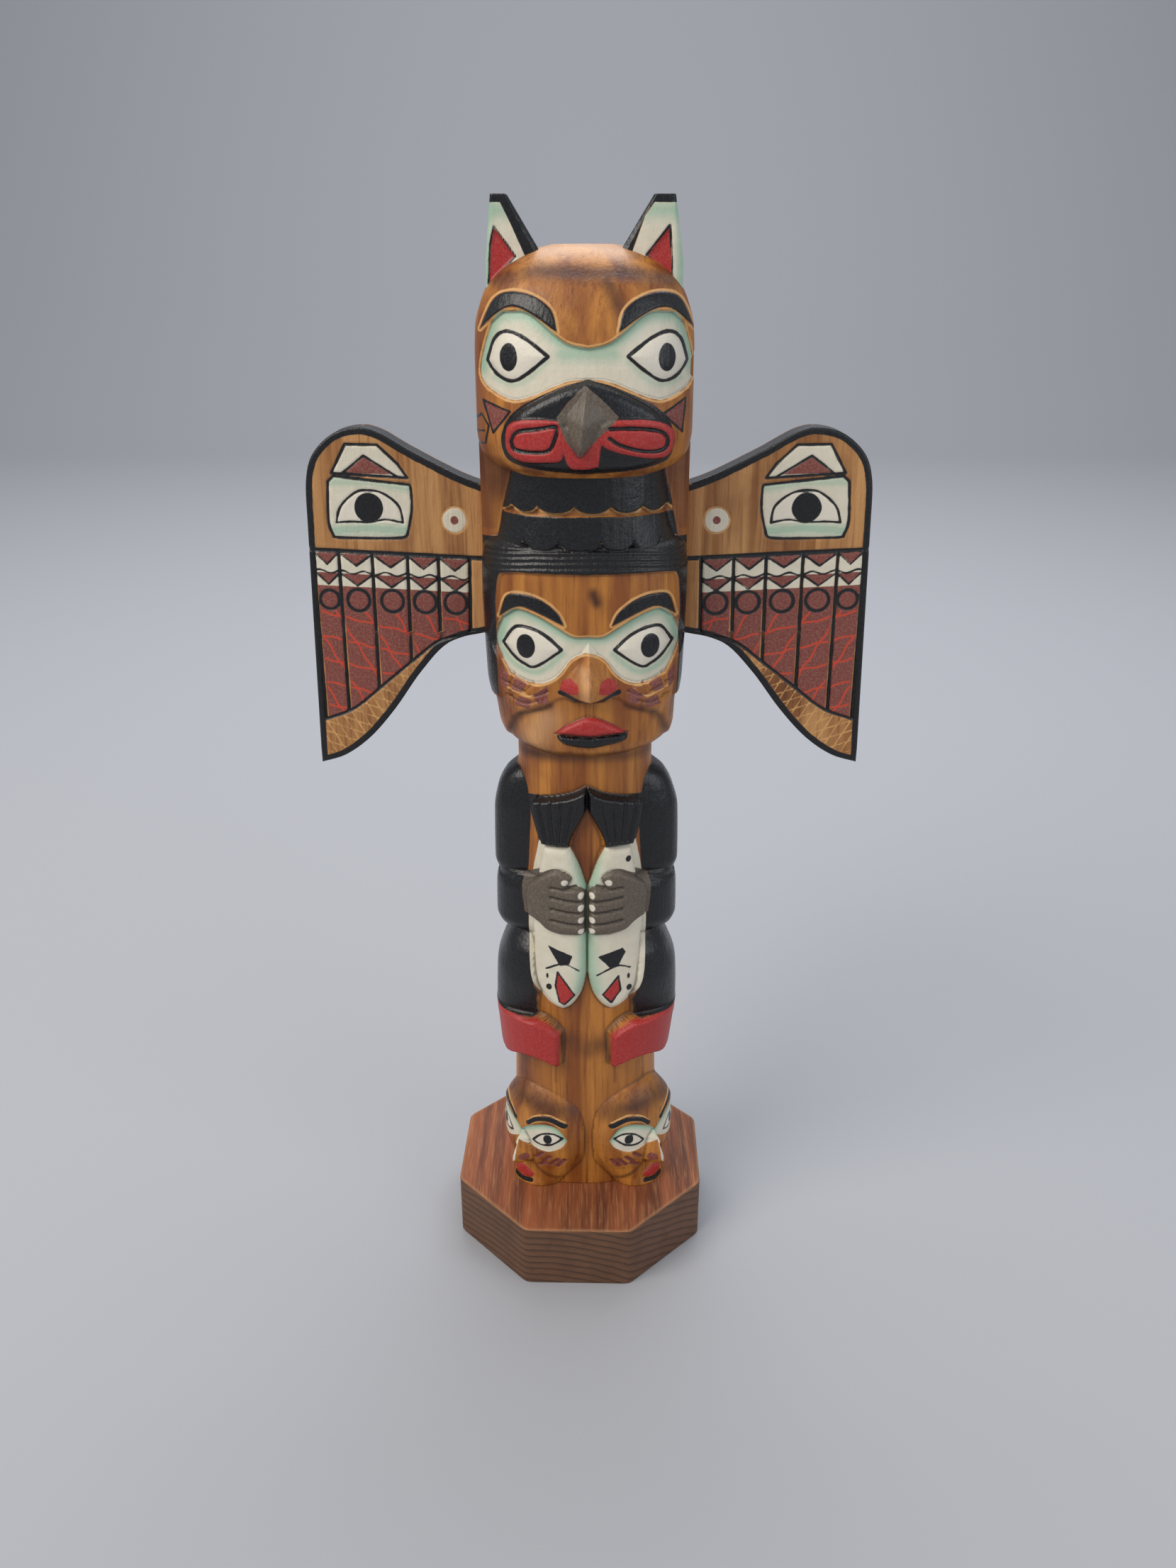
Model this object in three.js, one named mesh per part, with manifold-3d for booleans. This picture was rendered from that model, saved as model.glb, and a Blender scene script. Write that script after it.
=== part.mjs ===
// A small carved and painted totem pole: an eagle above a man who holds two fish, two little heads at
// the foot, a pair of plank wings let into the sides, and an octagonal plinth.
// Millimetres, +Z up. The figures face -Y. The origin is under the middle of the wing span.
import * as THREE from "three";
import { ConvexGeometry } from "three/addons/geometries/ConvexGeometry.js";
import { mergeVertices } from "three/addons/utils/BufferGeometryUtils.js";
import Module from "manifold-3d";

const wasm = await Module();
wasm.setup();

// ---------------------------------------------------------------- driving sizes
const plinth = { across: 89, thick: 24, x: -3.1, turn: -1.3 };
const pole = { x: -1.4 };
// Sections: how deep and how square the back half of a body is, and the facets of its two halves.
const round = { back: 19, squareness: 4.5, frontSides: 16, backSides: 6 };
const trunkRound = { ...round, back: 18 };
const limbRound = { ...round, back: 13, squareness: 3, frontSides: 14 };
const eggRound = { back: 10, squareness: 2, frontSides: 11, backSides: 4 };
const wing = {
  front: 4.6, // the front face stands this far behind the pole's axis
  thick: 9.5,
  root: 30, // inner end, from the pole's axis
  shoulder: 290, // height of the highest point
  leftReach: 58.7,
  rightReach: 61.5,
  groove: { width: 1.2, depth: 0.8 },
};
const fit = 0.3; // clearance round each wing's root in its slot

const face = 1; // the faces' middle line, to the side of the pole's axis
const small = { x: 15.4, y: -7, axis: 1.1, turn: 37.7 }; // the little heads at the foot

// Rounded bodies as stations [height, half width, depth of the front, squareness, half width on the -x side where it differs].
const trunk = [
  [24, 26.5, 20.3, 2.2],
  [66, 25.5, 20, 2.2],
  [120, 24.3, 18.5, 2.2],
  [185, 22, 17, 2.2],
  [203, 22, 17, 2.2],
];
const neckBlock = [
  [248, 31.4, 8, 5],
  [288, 31.6, 9, 5],
];
const chest = [
  [246, 28.8, 21, 2.3],
  [258, 27, 20.4, 2.3],
  [270, 25, 20, 2.3],
  [286, 23.2, 20, 2.3],
];
const manHead = [
  [192.4, 20.5, 20.6, 2.3, 19.6],
  [194.4, 25.6, 22.2, 2.3, 23.8],
  [197, 28, 22.9, 2.4, 26.2],
  [200.5, 28.8, 23.2, 2.4, 27.6],
  [206, 29, 23.4, 2.5, 28.4],
  [216, 30.2, 23.4, 2.5],
  [248, 31, 22.4, 2.5],
  [257, 30.3, 20.8, 2.4],
  [259.5, 28.5, 18, 2.3],
];
const eagleHead = [
  [278.8, 22, 23, 2.4],
  [281.5, 28, 26, 2.4],
  [285, 31, 27.4, 2.4],
  [291, 32, 28, 2.4],
  [310, 32, 26.3, 2.4],
  [319, 31.6, 24.6, 2.4],
  [326, 29.7, 22.4, 2.4],
  [330, 27.8, 20.4, 2.4],
  [333, 25.3, 17.8, 2.4],
  [336.4, 21, 14.4, 2.3],
  [339, 15.8, 10.4, 2.2],
  [340.5, 9.5, 6.4, 2.1],
];
const upperArms = [
  [146, 30.4, 11.5, 3, 29.6],
  [150, 31.6, 12, 3, 30.7],
  [168, 31.2, 12, 3, 30.4],
  [175.5, 29.3, 11.4, 3, 29],
  [180.6, 26.6, 10.6, 3, 26.4],
  [184, 22.3, 9.4, 3],
];
const forearms = [
  [124, 25.2, 12, 2.6, 24.8],
  [126.5, 30.3, 15.4, 2.6, 29.4],
  [130, 31.5, 16.6, 2.6, 30.6],
  [141, 31.3, 16.6, 2.6, 30.4],
  [147, 29.8, 14.6, 2.8, 28.8],
];
const legs = [
  [86, 31, 17, 3, 30.4],
  [91, 32.2, 17.6, 3, 31.5],
  [98, 32.3, 18, 3, 31.4],
  [110, 31.9, 20.2, 3, 30.9],
  [118.4, 29.2, 19.6, 3, 28.5],
  [126, 24.9, 15, 3, 24.5],
];
const feet = [
  [74, 30, 23.4, 2.6],
  [95.5, 32.5, 24.6, 2.6, 31.7],
];
// A little head is wider towards the pole's middle than on its outer side: the last value is its outer half width.
const littleHead = [
  [24, 11.8, 14.8, 2.7, 8],
  [29, 15.1, 13.3, 2.4, 9.8],
  [35.7, 18.9, 14, 2.1, 13.4],
  [44.6, 20.2, 14.6, 2, 16.8],
  [53.9, 18.9, 14, 2, 15],
  [59.5, 16.7, 12.2, 2, 11.4],
  [63.8, 13, 9.8, 2, 7.2],
  [67, 6.5, 6, 2, 4],
];

// ---------------------------------------------------------------- solids and joins

/** A manifold solid from a closed three.js geometry. */
function solid(geometry) {
  const bare = geometry.clone();
  bare.deleteAttribute("normal");
  bare.deleteAttribute("uv");
  const merged = mergeVertices(bare, 1e-4);
  return new wasm.Manifold(
    new wasm.Mesh({
      numProp: 3,
      vertProperties: new Float32Array(merged.attributes.position.array),
      triVerts: new Uint32Array(merged.index.array),
    }),
  );
}

/** A three.js geometry from a manifold solid, with flat facets. */
function geometryOf(body) {
  const mesh = body.getMesh();
  const geometry = new THREE.BufferGeometry();
  geometry.setAttribute("position", new THREE.BufferAttribute(new Float32Array(mesh.vertProperties), 3));
  geometry.setIndex(new THREE.BufferAttribute(new Uint32Array(mesh.triVerts), 1));
  const faceted = geometry.toNonIndexed();
  faceted.computeVertexNormals();
  return faceted;
}

/** Everything in the list joined into one solid. */
function joined(bodies) {
  return bodies.reduce((whole, body) => whole.add(body));
}

/** The convex block around a few corner points. */
function block(corners) {
  return solid(new ConvexGeometry(corners.map((corner) => new THREE.Vector3(...corner))));
}

/**
 * A body lofted through stations. Each section is a superellipse: the front half has the station's
 * depth and squareness, the back half is `back` deep and nearly flat. A fifth value in a station is the
 * half width on the -x side, where it differs. `grow` swells it all round.
 */
function loft(stations, grow = 0, { back, squareness, frontSides, backSides } = round) {
  const positions = [];
  const sides = backSides + frontSides;
  const turnAt = (i) => (i < backSides ? i / backSides : 1 + (i - backSides) / frontSides);
  const rings = stations.map(([z, halfWidth, front, power, otherHalf = halfWidth]) =>
    Array.from({ length: sides }, (_, i) => {
      const angle = Math.PI * turnAt(i);
      const [cos, sin] = [Math.cos(angle), Math.sin(angle)];
      const shape = 2 / (sin < 0 ? power : squareness);
      const depth = sin < 0 ? front : Math.min(back, halfWidth, otherHalf);
      const half = cos < 0 ? otherHalf : halfWidth;
      const x = (half + grow) * Math.sign(cos) * Math.abs(cos) ** shape;
      const y = (depth + grow) * Math.sign(sin) * Math.abs(sin) ** shape;
      return new THREE.Vector3(x, y, z);
    }),
  );
  const middle = (z) => new THREE.Vector3(0, 0, z);
  const triangle = (...corners) => corners.forEach((corner) => positions.push(corner.x, corner.y, corner.z));
  for (let i = 0; i < sides; i++) {
    const next = (i + 1) % sides;
    triangle(middle(stations[0][0]), rings[0][next], rings[0][i]);
    triangle(middle(stations.at(-1)[0]), rings.at(-1)[i], rings.at(-1)[next]);
    for (let k = 0; k + 1 < rings.length; k++) {
      triangle(rings[k][i], rings[k][next], rings[k + 1][next]);
      triangle(rings[k][i], rings[k + 1][next], rings[k + 1][i]);
    }
  }
  const geometry = new THREE.BufferGeometry();
  geometry.setAttribute("position", new THREE.Float32BufferAttribute(positions, 3));
  return solid(geometry);
}

// ---------------------------------------------------------------- outlines, as [x, z] seen from the front

/** One curve per run of points: two points give a straight line, more give a smooth curve through them. */
function outline(...runs) {
  return runs.flatMap((run) => {
    if (run.length === 2) return run.slice(0, 1);
    const curve = new THREE.SplineCurve(run.map(([x, z]) => new THREE.Vector2(x, z)));
    return curve
      .getPoints(2 * (run.length - 1))
      .slice(0, -1)
      .map((point) => [point.x, point.y]);
  });
}

/** The same outline on one side of a middle line: side is 1 for the viewer's right and -1 for the left. */
function onSide(points, side, middle = face) {
  return points.map(([x, z]) => [middle + side * x, z]);
}

/** An outline across the middle line, from the half of it on the viewer's right, top middle first. */
function across(half, middle = face) {
  const inner = half.filter(([x]) => x > 0);
  return [...onSide(half, 1, middle), ...onSide(inner, -1, middle).reverse()];
}

/** The bar that an outline sweeps from the pole's axis towards the front, `from` to `to` ahead of it. */
function bar(points, from = 2, to = 45) {
  const shape = new THREE.Shape(points.map(([x, z]) => new THREE.Vector2(x, z)));
  const geometry = new THREE.ExtrudeGeometry(shape, { depth: to - from, bevelEnabled: false });
  geometry.rotateX(Math.PI / 2);
  geometry.translate(0, -from, 0);
  return solid(geometry);
}

/** A raised part: the body swollen by `height`, kept only inside the outline. */
function raised(stations, points, height, section = round) {
  return loft(stations, height, section).intersect(bar(points));
}

/** A cutter that sinks the outline `depth` below the body's surface. */
function sunk(stations, points, depth, section = round) {
  return bar(points).subtract(loft(stations, -depth, section));
}

// ---------------------------------------------------------------- the eagle's head

const eagleEye = outline(
  [[11.1, 311.7], [17.5, 316.3], [22.5, 318], [26, 316], [28.2, 310.4]],
  [[28.2, 310.4], [25.3, 306.8], [21, 305.3], [16.7, 307.4], [11.1, 311.7]],
);
const eagleMask = outline(
  [[0, 313.8], [6.5, 315.5], [15.5, 322.4], [21, 323.2], [26, 321.4], [30.6, 308], [28.2, 303.2]],
  [[28.2, 303.2], [22, 300.4], [16.8, 301], [6, 305.2], [0, 305.6]],
  [[0, 305.6], [0, 313.8]],
);
const eagleBrow = outline(
  [[8.5, 318], [10, 323.5], [14.8, 327], [21, 328.2], [26.3, 326.2], [30.5, 318.5]],
  [[30.5, 318.5], [23, 324], [17, 323.3], [8.5, 318]],
);
const muzzle = outline(
  [[0, 305.5], [6, 304], [13.8, 300.8], [21, 296.5], [24.3, 290], [22.5, 284], [14, 281.6], [0, 280.5]],
  [[0, 280.5], [0, 305.5]],
);
const lip = outline(
  [[6, 294.6], [11, 295.6], [18, 295.3], [22.6, 293], [24, 289.5], [22, 285.2], [14, 284.2], [6.4, 286.2]],
  [[6.4, 286.2], [6, 294.6]],
);
const lipHollow = outline(
  [[8.8, 293], [14, 292.6], [20, 291.6], [21.4, 289.4], [19, 287.6], [11, 288], [8.8, 290.4]],
  [[8.8, 290.4], [8.8, 293]],
);

// Each ear from its outer foot up round the tip to its inner foot.
const ears = {
  [-1]: [[28, 326], [27.8, 347], [26.4, 352.2], [25, 353.2], [21.8, 353], [10.9, 336]],
  1: [[27.8, 326], [26.5, 347], [25.6, 352.4], [24.6, 353.4], [19.4, 353.2], [8.4, 336]],
};

/** A pricked ear: a wedge that leans out, thicker at its foot. */
function ear(side) {
  const foot = 326;
  const front = ears[side].map(([x, z]) => [side * x, -7.6, z]);
  const rear = ears[side].map(([x, z]) => [side * (x - 0.3), 2 - 0.11 * (z - foot), z]);
  return block([...front, ...rear]);
}

/** The short hooked beak, with a sharp ridge down its middle. */
function beak() {
  return block([
    [0.4, -24, 304.6],
    [0.4, -31, 301.5],
    [-0.4, -34.4, 294],
    [-1, -34.6, 288.4],
    [-1.2, -32.6, 286],
    [-7.8, -27.5, 296.2],
    [9.2, -27.5, 296.2],
    [-5, -29, 289.4],
    [3.4, -29, 289.8],
    [-7, -18, 298],
    [8, -18, 298],
  ]);
}

function eagle() {
  let head = loft(eagleHead);
  head = head.subtract(sunk(eagleHead, across(eagleMask), 1.1));
  const added = [beak(), raised(eagleHead, across(muzzle), 2.4)];
  const cut = [];
  for (const side of [-1, 1]) {
    added.push(raised(eagleHead, onSide(eagleEye, side), -0.4));
    added.push(raised(eagleHead, onSide(eagleBrow, side), 0.6));
    added.push(raised(eagleHead, onSide(lip, side, 0.6), 3.2));
    added.push(ear(side));
    cut.push(sunk(eagleHead, onSide(lipHollow, side, 0.6), -2));
  }
  const tongue = outline([[-8, 294], [-5, 283], [-1, 281.8], [3.2, 283], [5.6, 294]], [[5.6, 294], [-8, 294]]);
  return joined([head, ...added, raised(eagleHead, tongue, 3)]).subtract(joined(cut));
}

// ---------------------------------------------------------------- the chest and its two rows of feathers

/** A row of scalloped feathers: straight on top, with a round tip below between each two cusps. */
function scallops(top, cusp, tip, cusps) {
  const steps = 5;
  const points = [[cusps[0], top]];
  cusps.slice(1).forEach((right, i) => {
    const left = cusps[i];
    for (let k = i ? 1 : 0; k <= steps; k++) {
      const angle = (Math.PI * k) / steps;
      points.push([(left + right) / 2 - ((right - left) / 2) * Math.cos(angle), cusp - (cusp - tip) * Math.sin(angle)]);
    }
  });
  points.push([cusps.at(-1), top]);
  return points;
}

function chestBody() {
  return joined([
    loft(neckBlock, 0, trunkRound),
    loft(chest, 0, limbRound),
    raised(chest, scallops(286, 271, 268.4, [-30, -21.6, -14, -3, 7.7, 17.4, 24.7, 30]), 1.6),
    raised(chest, scallops(267.4, 261, 257.4, [-32, -27.3, -18.2, -7.9, 4.9, 14.7, 22.8, 27.4, 32]), 1.1),
  ]);
}

// ---------------------------------------------------------------- the man's head

const manEye = outline(
  [[8.1, 227.8], [12.8, 232], [17.6, 234], [22.2, 233.8], [25.9, 228.5]],
  [[25.9, 228.5], [22.8, 225], [19.5, 223], [16, 222.4], [8.1, 227.8]],
);
const manMask = outline(
  [[0, 231.9], [4.5, 232], [9, 234.6], [15, 238], [21.3, 239.7], [25.5, 237], [28.2, 228.5], [23.8, 219.5]],
  [[23.8, 219.5], [18.5, 217.3], [13.5, 217.4], [9, 220], [5, 225], [0, 227.6]],
  [[0, 227.6], [0, 231.9]],
);
const manBrow = outline(
  [[7.2, 235.5], [9, 239.2], [13.5, 242.8], [19, 244.5], [24.5, 243.4], [27, 236.8]],
  [[27, 236.8], [21.3, 240.6], [16, 239.6], [7.2, 235.5]],
);
const faceOpening = outline(
  [[0, 250.8], [14, 251], [24, 250.6], [27.5, 247.5], [28.2, 230], [28, 214]],
  [[28, 214], [28, 188]],
  [[28, 188], [0, 188]],
  [[0, 188], [0, 250.8]],
);
const mouthGround = outline(
  [[0, 212], [8.5, 212.7], [13.1, 209.2], [19.2, 208], [22.8, 204.5], [24.8, 199]],
  [[24.8, 199], [24.8, 188]],
  [[24.8, 188], [0, 188]],
  [[0, 188], [0, 212]],
);
const lips = outline(
  [[0, 206.4], [5.4, 204.6], [11.2, 200.9]],
  [[11.2, 200.9], [10.4, 198.4], [6, 197], [0, 196.2]],
  [[0, 196.2], [0, 206.4]],
);

function nose() {
  return block([
    [1.2, -21, 229],
    [1.3, -26.4, 224],
    [1.4, -30, 216.6],
    [1.8, -29, 213.4],
    [-6.8, -22, 220.6],
    [-7.6, -23, 216.6],
    [-4, -25, 212.6],
    [9.2, -23, 217],
    [8.4, -22, 220.6],
    [6.6, -25, 212.8],
    [-5, -14, 222],
    [7, -14, 222],
  ]);
}

function man() {
  let head = loft(manHead);
  head = head.subtract(sunk(manHead, across(manMask), 1.1));
  head = head.subtract(sunk(manHead, across(mouthGround), 1));
  const hair = loft(manHead.slice(4), 1).subtract(bar(across(faceOpening)));
  const added = [hair, nose(), raised(manHead, across(lips, 2.2), 1)];
  for (const side of [-1, 1]) {
    added.push(raised(manHead, onSide(manEye, side), -0.4));
    added.push(raised(manHead, onSide(manBrow, side), 0.6));
  }
  return joined([head, ...added]);
}

// ---------------------------------------------------------------- limbs, fish and hands

const fishBody = outline(
  [[15.7, 161], [17.5, 151.5], [19.4, 138], [19.6, 124], [18.6, 109.5], [13.5, 101.3], [8.9, 99.2]],
  [[8.9, 99.2], [5.5, 101.3], [2, 106.6], [0.2, 114]],
  [[0.2, 114], [0.2, 145.5]],
  [[0.2, 145.5], [3.3, 154.6], [6.2, 161]],
  [[6.2, 161], [15.7, 161]],
);
const fishTail = outline(
  [[0.2, 181.2], [5, 178.9], [11, 177.4], [19.2, 175.8]],
  [[19.2, 175.8], [18.3, 169], [15.9, 160.4]],
  [[15.9, 160.4], [6, 160.4]],
  [[6, 160.4], [5, 164.5], [0.2, 173.6]],
  [[0.2, 173.6], [0.2, 181.2]],
);
const hand = outline(
  [[5, 150.5], [8, 152.3], [11.4, 152.4], [16.4, 149.6], [20.4, 147.2]],
  [[20.4, 147.2], [21.4, 143], [20.6, 134.4]],
  [[20.6, 134.4], [16.5, 133.3], [13, 130.7], [8.8, 129.7]],
  [[8.8, 129.7], [0.7, 129.7]],
  [[0.7, 129.7], [0.7, 145.3]],
  [[0.7, 145.3], [3.2, 146.9], [6.8, 146.7]],
  [[6.8, 146.7], [5, 150.5]],
);
const leg = outline(
  [[17, 95], [17.5, 101.2], [18.4, 114], [18.8, 127]],
  [[18.8, 127], [40, 127]],
  [[40, 127], [40, 88.5]],
  [[40, 88.5], [20, 88.5]],
  [[20, 88.5], [17, 95]],
);
const foot = outline(
  [[9.8, 76.8], [13, 78], [18, 79.6], [23.5, 79.4], [28, 77.4], [31, 79], [34, 82]],
  [[34, 82], [34, 95.4]],
  [[34, 95.4], [18, 94.6]],
  [[18, 94.6], [13.5, 92.6], [9.8, 89.6]],
  [[9.8, 89.6], [9.8, 76.8]],
);
const fishMiddle = 0.8;
const footMiddle = 0.1;
const fingers = { count: 4, top: 144.6, step: 4.15, from: 2, to: 11.5 };

/** Three grooves that part the four fingers. */
function fingerGrooves(side) {
  const grooves = [];
  for (let i = 1; i < fingers.count; i++) {
    const z = fingers.top - i * fingers.step + 0.4;
    const ends = [fingers.from, fingers.to].map((x) => 0.5 + side * x);
    const corners = ends.flatMap((x) => [
      [x, -30, z - 1.2],
      [x, -30, z + 1.2],
      [x, -21.4, z],
    ]);
    grooves.push(block(corners));
  }
  return joined(grooves);
}

function body() {
  const parts = [loft(trunk, 0, trunkRound), loft(upperArms, 0, limbRound), loft(forearms, 0, limbRound)];
  const grooves = [];
  for (const side of [-1, 1]) {
    parts.push(loft(legs, 0, limbRound).intersect(bar(onSide(leg, side, footMiddle), -25)));
    parts.push(loft(feet, 0, limbRound).intersect(bar(onSide(foot, side, footMiddle), -25)));
    parts.push(raised(trunk, onSide(fishBody, side, fishMiddle), 3.4));
    parts.push(raised(trunk, onSide(fishTail, side, fishMiddle), 4));
    parts.push(raised(trunk, onSide(hand, side, 0.5), 5.2));
    grooves.push(fingerGrooves(side));
  }
  return joined(parts).subtract(joined(grooves));
}

// ---------------------------------------------------------------- the two little heads at the foot

const littleMask = outline(
  [[0, 47.2], [2.6, 49.6], [8.7, 51.9], [13.2, 50.9], [16.2, 46]],
  [[16.2, 46], [14.6, 42.8], [9.9, 40.6], [4.9, 42.1], [0, 45]],
  [[0, 45], [0, 47.2]],
);
const littleLips = outline([[0, 31], [4.6, 28.6]], [[4.6, 28.6], [3.4, 26.8], [0, 26.2]], [[0, 26.2], [0, 31]]);

function littleNose() {
  return block([
    [0, -14, 46.4],
    [0, -17.4, 44.6],
    [-0.8, -20, 36.4],
    [0.8, -20, 36.4],
    [0, -18.6, 34.4],
    [-3.8, -14, 37.6],
    [3.8, -14, 37.6],
    [-2.8, -15, 34.8],
    [2.8, -15, 34.8],
    [0, -8, 42],
  ]);
}

/** One little head, made facing forwards, then turned outwards and set at the foot. */
function footHead(side) {
  const stations = littleHead.map(([z, inner, front, power, outer]) =>
    side < 0 ? [z, inner, front, power, outer] : [z, outer, front, power, inner],
  );
  let head = loft(stations, 0, eggRound);
  head = head.subtract(sunk(stations, across(littleMask, 0), 0.6, eggRound));
  return joined([head, littleNose(), raised(stations, across(littleLips, 0), 0.7, eggRound)])
    .rotate([0, 0, side * small.turn])
    .translate([small.axis + side * small.x, small.y, 0]);
}

// ---------------------------------------------------------------- wings

/** The wing's outline from its root at x = 0 to its tip at x = reach, seen from the front. */
function wingOutline(reach) {
  const top = wing.shoulder;
  const under = 226;
  const past = 2; // the straight tongue in the slot
  return outline(
    [[0, 273], [past, 273]],
    [
      [past, 273],
      [0.17 * reach, 276.2],
      [0.4 * reach, 283.2],
      [0.56 * reach, 288.6],
      [0.67 * reach, top],
      [0.8 * reach, top - 2],
      [0.91 * reach, top - 8],
      [0.955 * reach, top - 16],
      [0.965 * reach, top - 28],
    ],
    [[0.965 * reach, top - 28], [reach, 186]],
    [[reach, 186], [reach, 181]],
    [
      [reach, 181],
      [0.86 * reach, 183.6],
      [0.71 * reach, 190],
      [0.56 * reach, 200],
      [0.4 * reach, 213],
      [0.24 * reach, 222.6],
      [past, under],
    ],
    [[past, under], [0, under]],
  );
}

/** A V groove in the front face from one point to another. The face is the plane y = 0. */
function groove([x0, z0], [x1, z1]) {
  const along = new THREE.Vector2(x1 - x0, z1 - z0).normalize();
  const half = wing.groove.width / 2;
  const corners = [];
  for (const [x, z, way] of [[x0, z0, -1], [x1, z1, 1]]) {
    const endX = x + 0.3 * way * along.x;
    const endZ = z + 0.3 * way * along.y;
    corners.push([endX - along.y * half, -0.4, endZ + along.x * half]);
    corners.push([endX + along.y * half, -0.4, endZ - along.x * half]);
    corners.push([endX, wing.groove.depth, endZ]);
  }
  return block(corners);
}

/** The grooves of one wing: the bar over the feathers, and the lines that part them. */
function wingGrooves(reach) {
  const cuts = [groove([2.2, 250.4], [0.955 * reach, 252.6])];
  const feathers = 5;
  for (let i = 0; i < feathers; i++) {
    const x = 0.115 * reach + (i * 0.835 * reach) / feathers;
    const low = 226.6 - 1.2 * i - 1.55 * i * i;
    cuts.push(groove([x, 250.6 + 0.4 * i], [x + 0.5 * i, low]));
  }
  return joined(cuts);
}

/** One plank wing, with its root at x = 0 and its front face in the plane y = 0, reaching to +x. */
function wingSolid(reach) {
  const plank = bar(wingOutline(reach), -wing.thick, 0);
  return plank.subtract(wingGrooves(reach));
}

/** The slot that takes one wing's root. */
function slot(side) {
  const [near, far] = [wing.root - fit, wing.root + 8].map((x) => side * x);
  const [front, rear] = [wing.front - fit, wing.front + wing.thick + fit];
  const corners = [];
  for (const x of [near, far]) {
    for (const y of [front, rear]) {
      for (const z of [226 - fit, 273 + fit]) corners.push([x, y, z]);
    }
  }
  return block(corners);
}

// ---------------------------------------------------------------- the finished pieces

const paint = {
  pole: { color: "#b5762f", roughness: 0.42 },
  wing: { color: "#a8742f", roughness: 0.45 },
  plinth: { color: "#7d4a2c", roughness: 0.6 },
};

/** A named mesh in its own finish. */
function piece(name, geometry, finish) {
  const mesh = new THREE.Mesh(geometry, new THREE.MeshStandardMaterial({ ...finish, metalness: 0 }));
  mesh.name = name;
  return mesh;
}

function polePiece() {
  const carving = joined([body(), man(), chestBody(), eagle(), footHead(-1), footHead(1)]);
  return piece("pole", geometryOf(carving.subtract(slot(-1)).subtract(slot(1))), paint.pole);
}

function wingPiece(name, side, reach) {
  const plank = side > 0 ? wingSolid(reach) : wingSolid(reach).mirror([1, 0, 0]);
  const mesh = piece(name, geometryOf(plank), paint.wing);
  mesh.position.set(side * wing.root, wing.front, 0);
  return mesh;
}

function plinthPiece() {
  const radius = plinth.across / 2 / Math.cos(Math.PI / 8);
  const geometry = new THREE.CylinderGeometry(radius, radius, plinth.thick, 8, 1);
  geometry.rotateY(Math.PI / 8);
  geometry.rotateX(Math.PI / 2);
  geometry.translate(0, 0, plinth.thick / 2);
  const mesh = piece("base", geometry, paint.plinth);
  mesh.position.x = plinth.x;
  mesh.rotation.z = THREE.MathUtils.degToRad(plinth.turn);
  return mesh;
}

const figure = new THREE.Group();
figure.position.x = pole.x;
figure.add(polePiece());
figure.add(wingPiece("left_wing", -1, wing.leftReach));
figure.add(wingPiece("right_wing", 1, wing.rightReach));

const totem = new THREE.Group();
totem.add(figure, plinthPiece());

export default totem;
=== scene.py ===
"""A small carved and painted totem pole: an eagle above a man who holds two fish, two little heads at
the foot, a pair of plank wings and an octagonal plinth. The figures face -Y; Z is up.

Sizes below are millimetres in the carver's frame, whose axis is the middle of the pole; a mesh is
put in metres, and moved over to the pole's real axis, at the very end."""

import math

import bpy
import numpy as np
from bpy.props import FloatProperty, FloatVectorProperty, PointerProperty
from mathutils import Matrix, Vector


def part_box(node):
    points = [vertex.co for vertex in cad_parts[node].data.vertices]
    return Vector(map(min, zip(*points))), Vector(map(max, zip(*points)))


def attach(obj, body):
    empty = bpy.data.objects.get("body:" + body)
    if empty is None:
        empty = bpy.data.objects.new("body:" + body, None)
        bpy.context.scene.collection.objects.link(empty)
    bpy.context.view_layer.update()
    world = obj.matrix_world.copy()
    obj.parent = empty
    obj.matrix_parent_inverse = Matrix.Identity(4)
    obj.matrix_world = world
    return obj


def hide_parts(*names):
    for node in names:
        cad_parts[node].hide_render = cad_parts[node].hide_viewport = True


bl_info = {
    "name": "Totem pole",
    "version": (1, 0, 0),
    "blender": (4, 5, 0),
    "location": "3D View > Sidebar > Totem",
    "description": "Carves and paints a small totem pole with wings on an octagonal plinth",
    "category": "Object",
}

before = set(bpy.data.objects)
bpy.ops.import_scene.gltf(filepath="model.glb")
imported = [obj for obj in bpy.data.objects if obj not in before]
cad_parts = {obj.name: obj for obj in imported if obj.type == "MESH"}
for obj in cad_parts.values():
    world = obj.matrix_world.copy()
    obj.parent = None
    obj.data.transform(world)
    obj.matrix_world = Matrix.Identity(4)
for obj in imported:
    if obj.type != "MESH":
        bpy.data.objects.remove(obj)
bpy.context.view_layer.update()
wing_boxes = {-1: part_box("left_wing"), 1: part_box("right_wing")}
base_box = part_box("base")


POLE_X = -1.4  # the pole's axis stands this far to the side of the middle of the wings
FACE = 1.0  # and the faces' middle line this far from the pole's axis


def linear(code):
    """An sRGB hex colour as linear red, green, blue and alpha."""
    parts = [int(code[i : i + 2], 16) / 255 for i in (1, 3, 5)]
    return [p / 12.92 if p <= 0.04045 else ((p + 0.055) / 1.055) ** 2.4 for p in parts] + [1.0]


# ---------------------------------------------------------------- sizes and colours a user may change


def length(name, text, millimetres):
    """A size that the sidebar shows as a length."""
    return FloatProperty(
        name=name, description=text, default=millimetres / 1000, unit="LENGTH", precision=4, min=0.0
    )


def colour(name, text, code):
    """A colour that the sidebar shows as a swatch."""
    return FloatVectorProperty(
        name=name, description=text, default=linear(code), size=4, subtype="COLOR", min=0.0, max=1.0
    )


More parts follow.
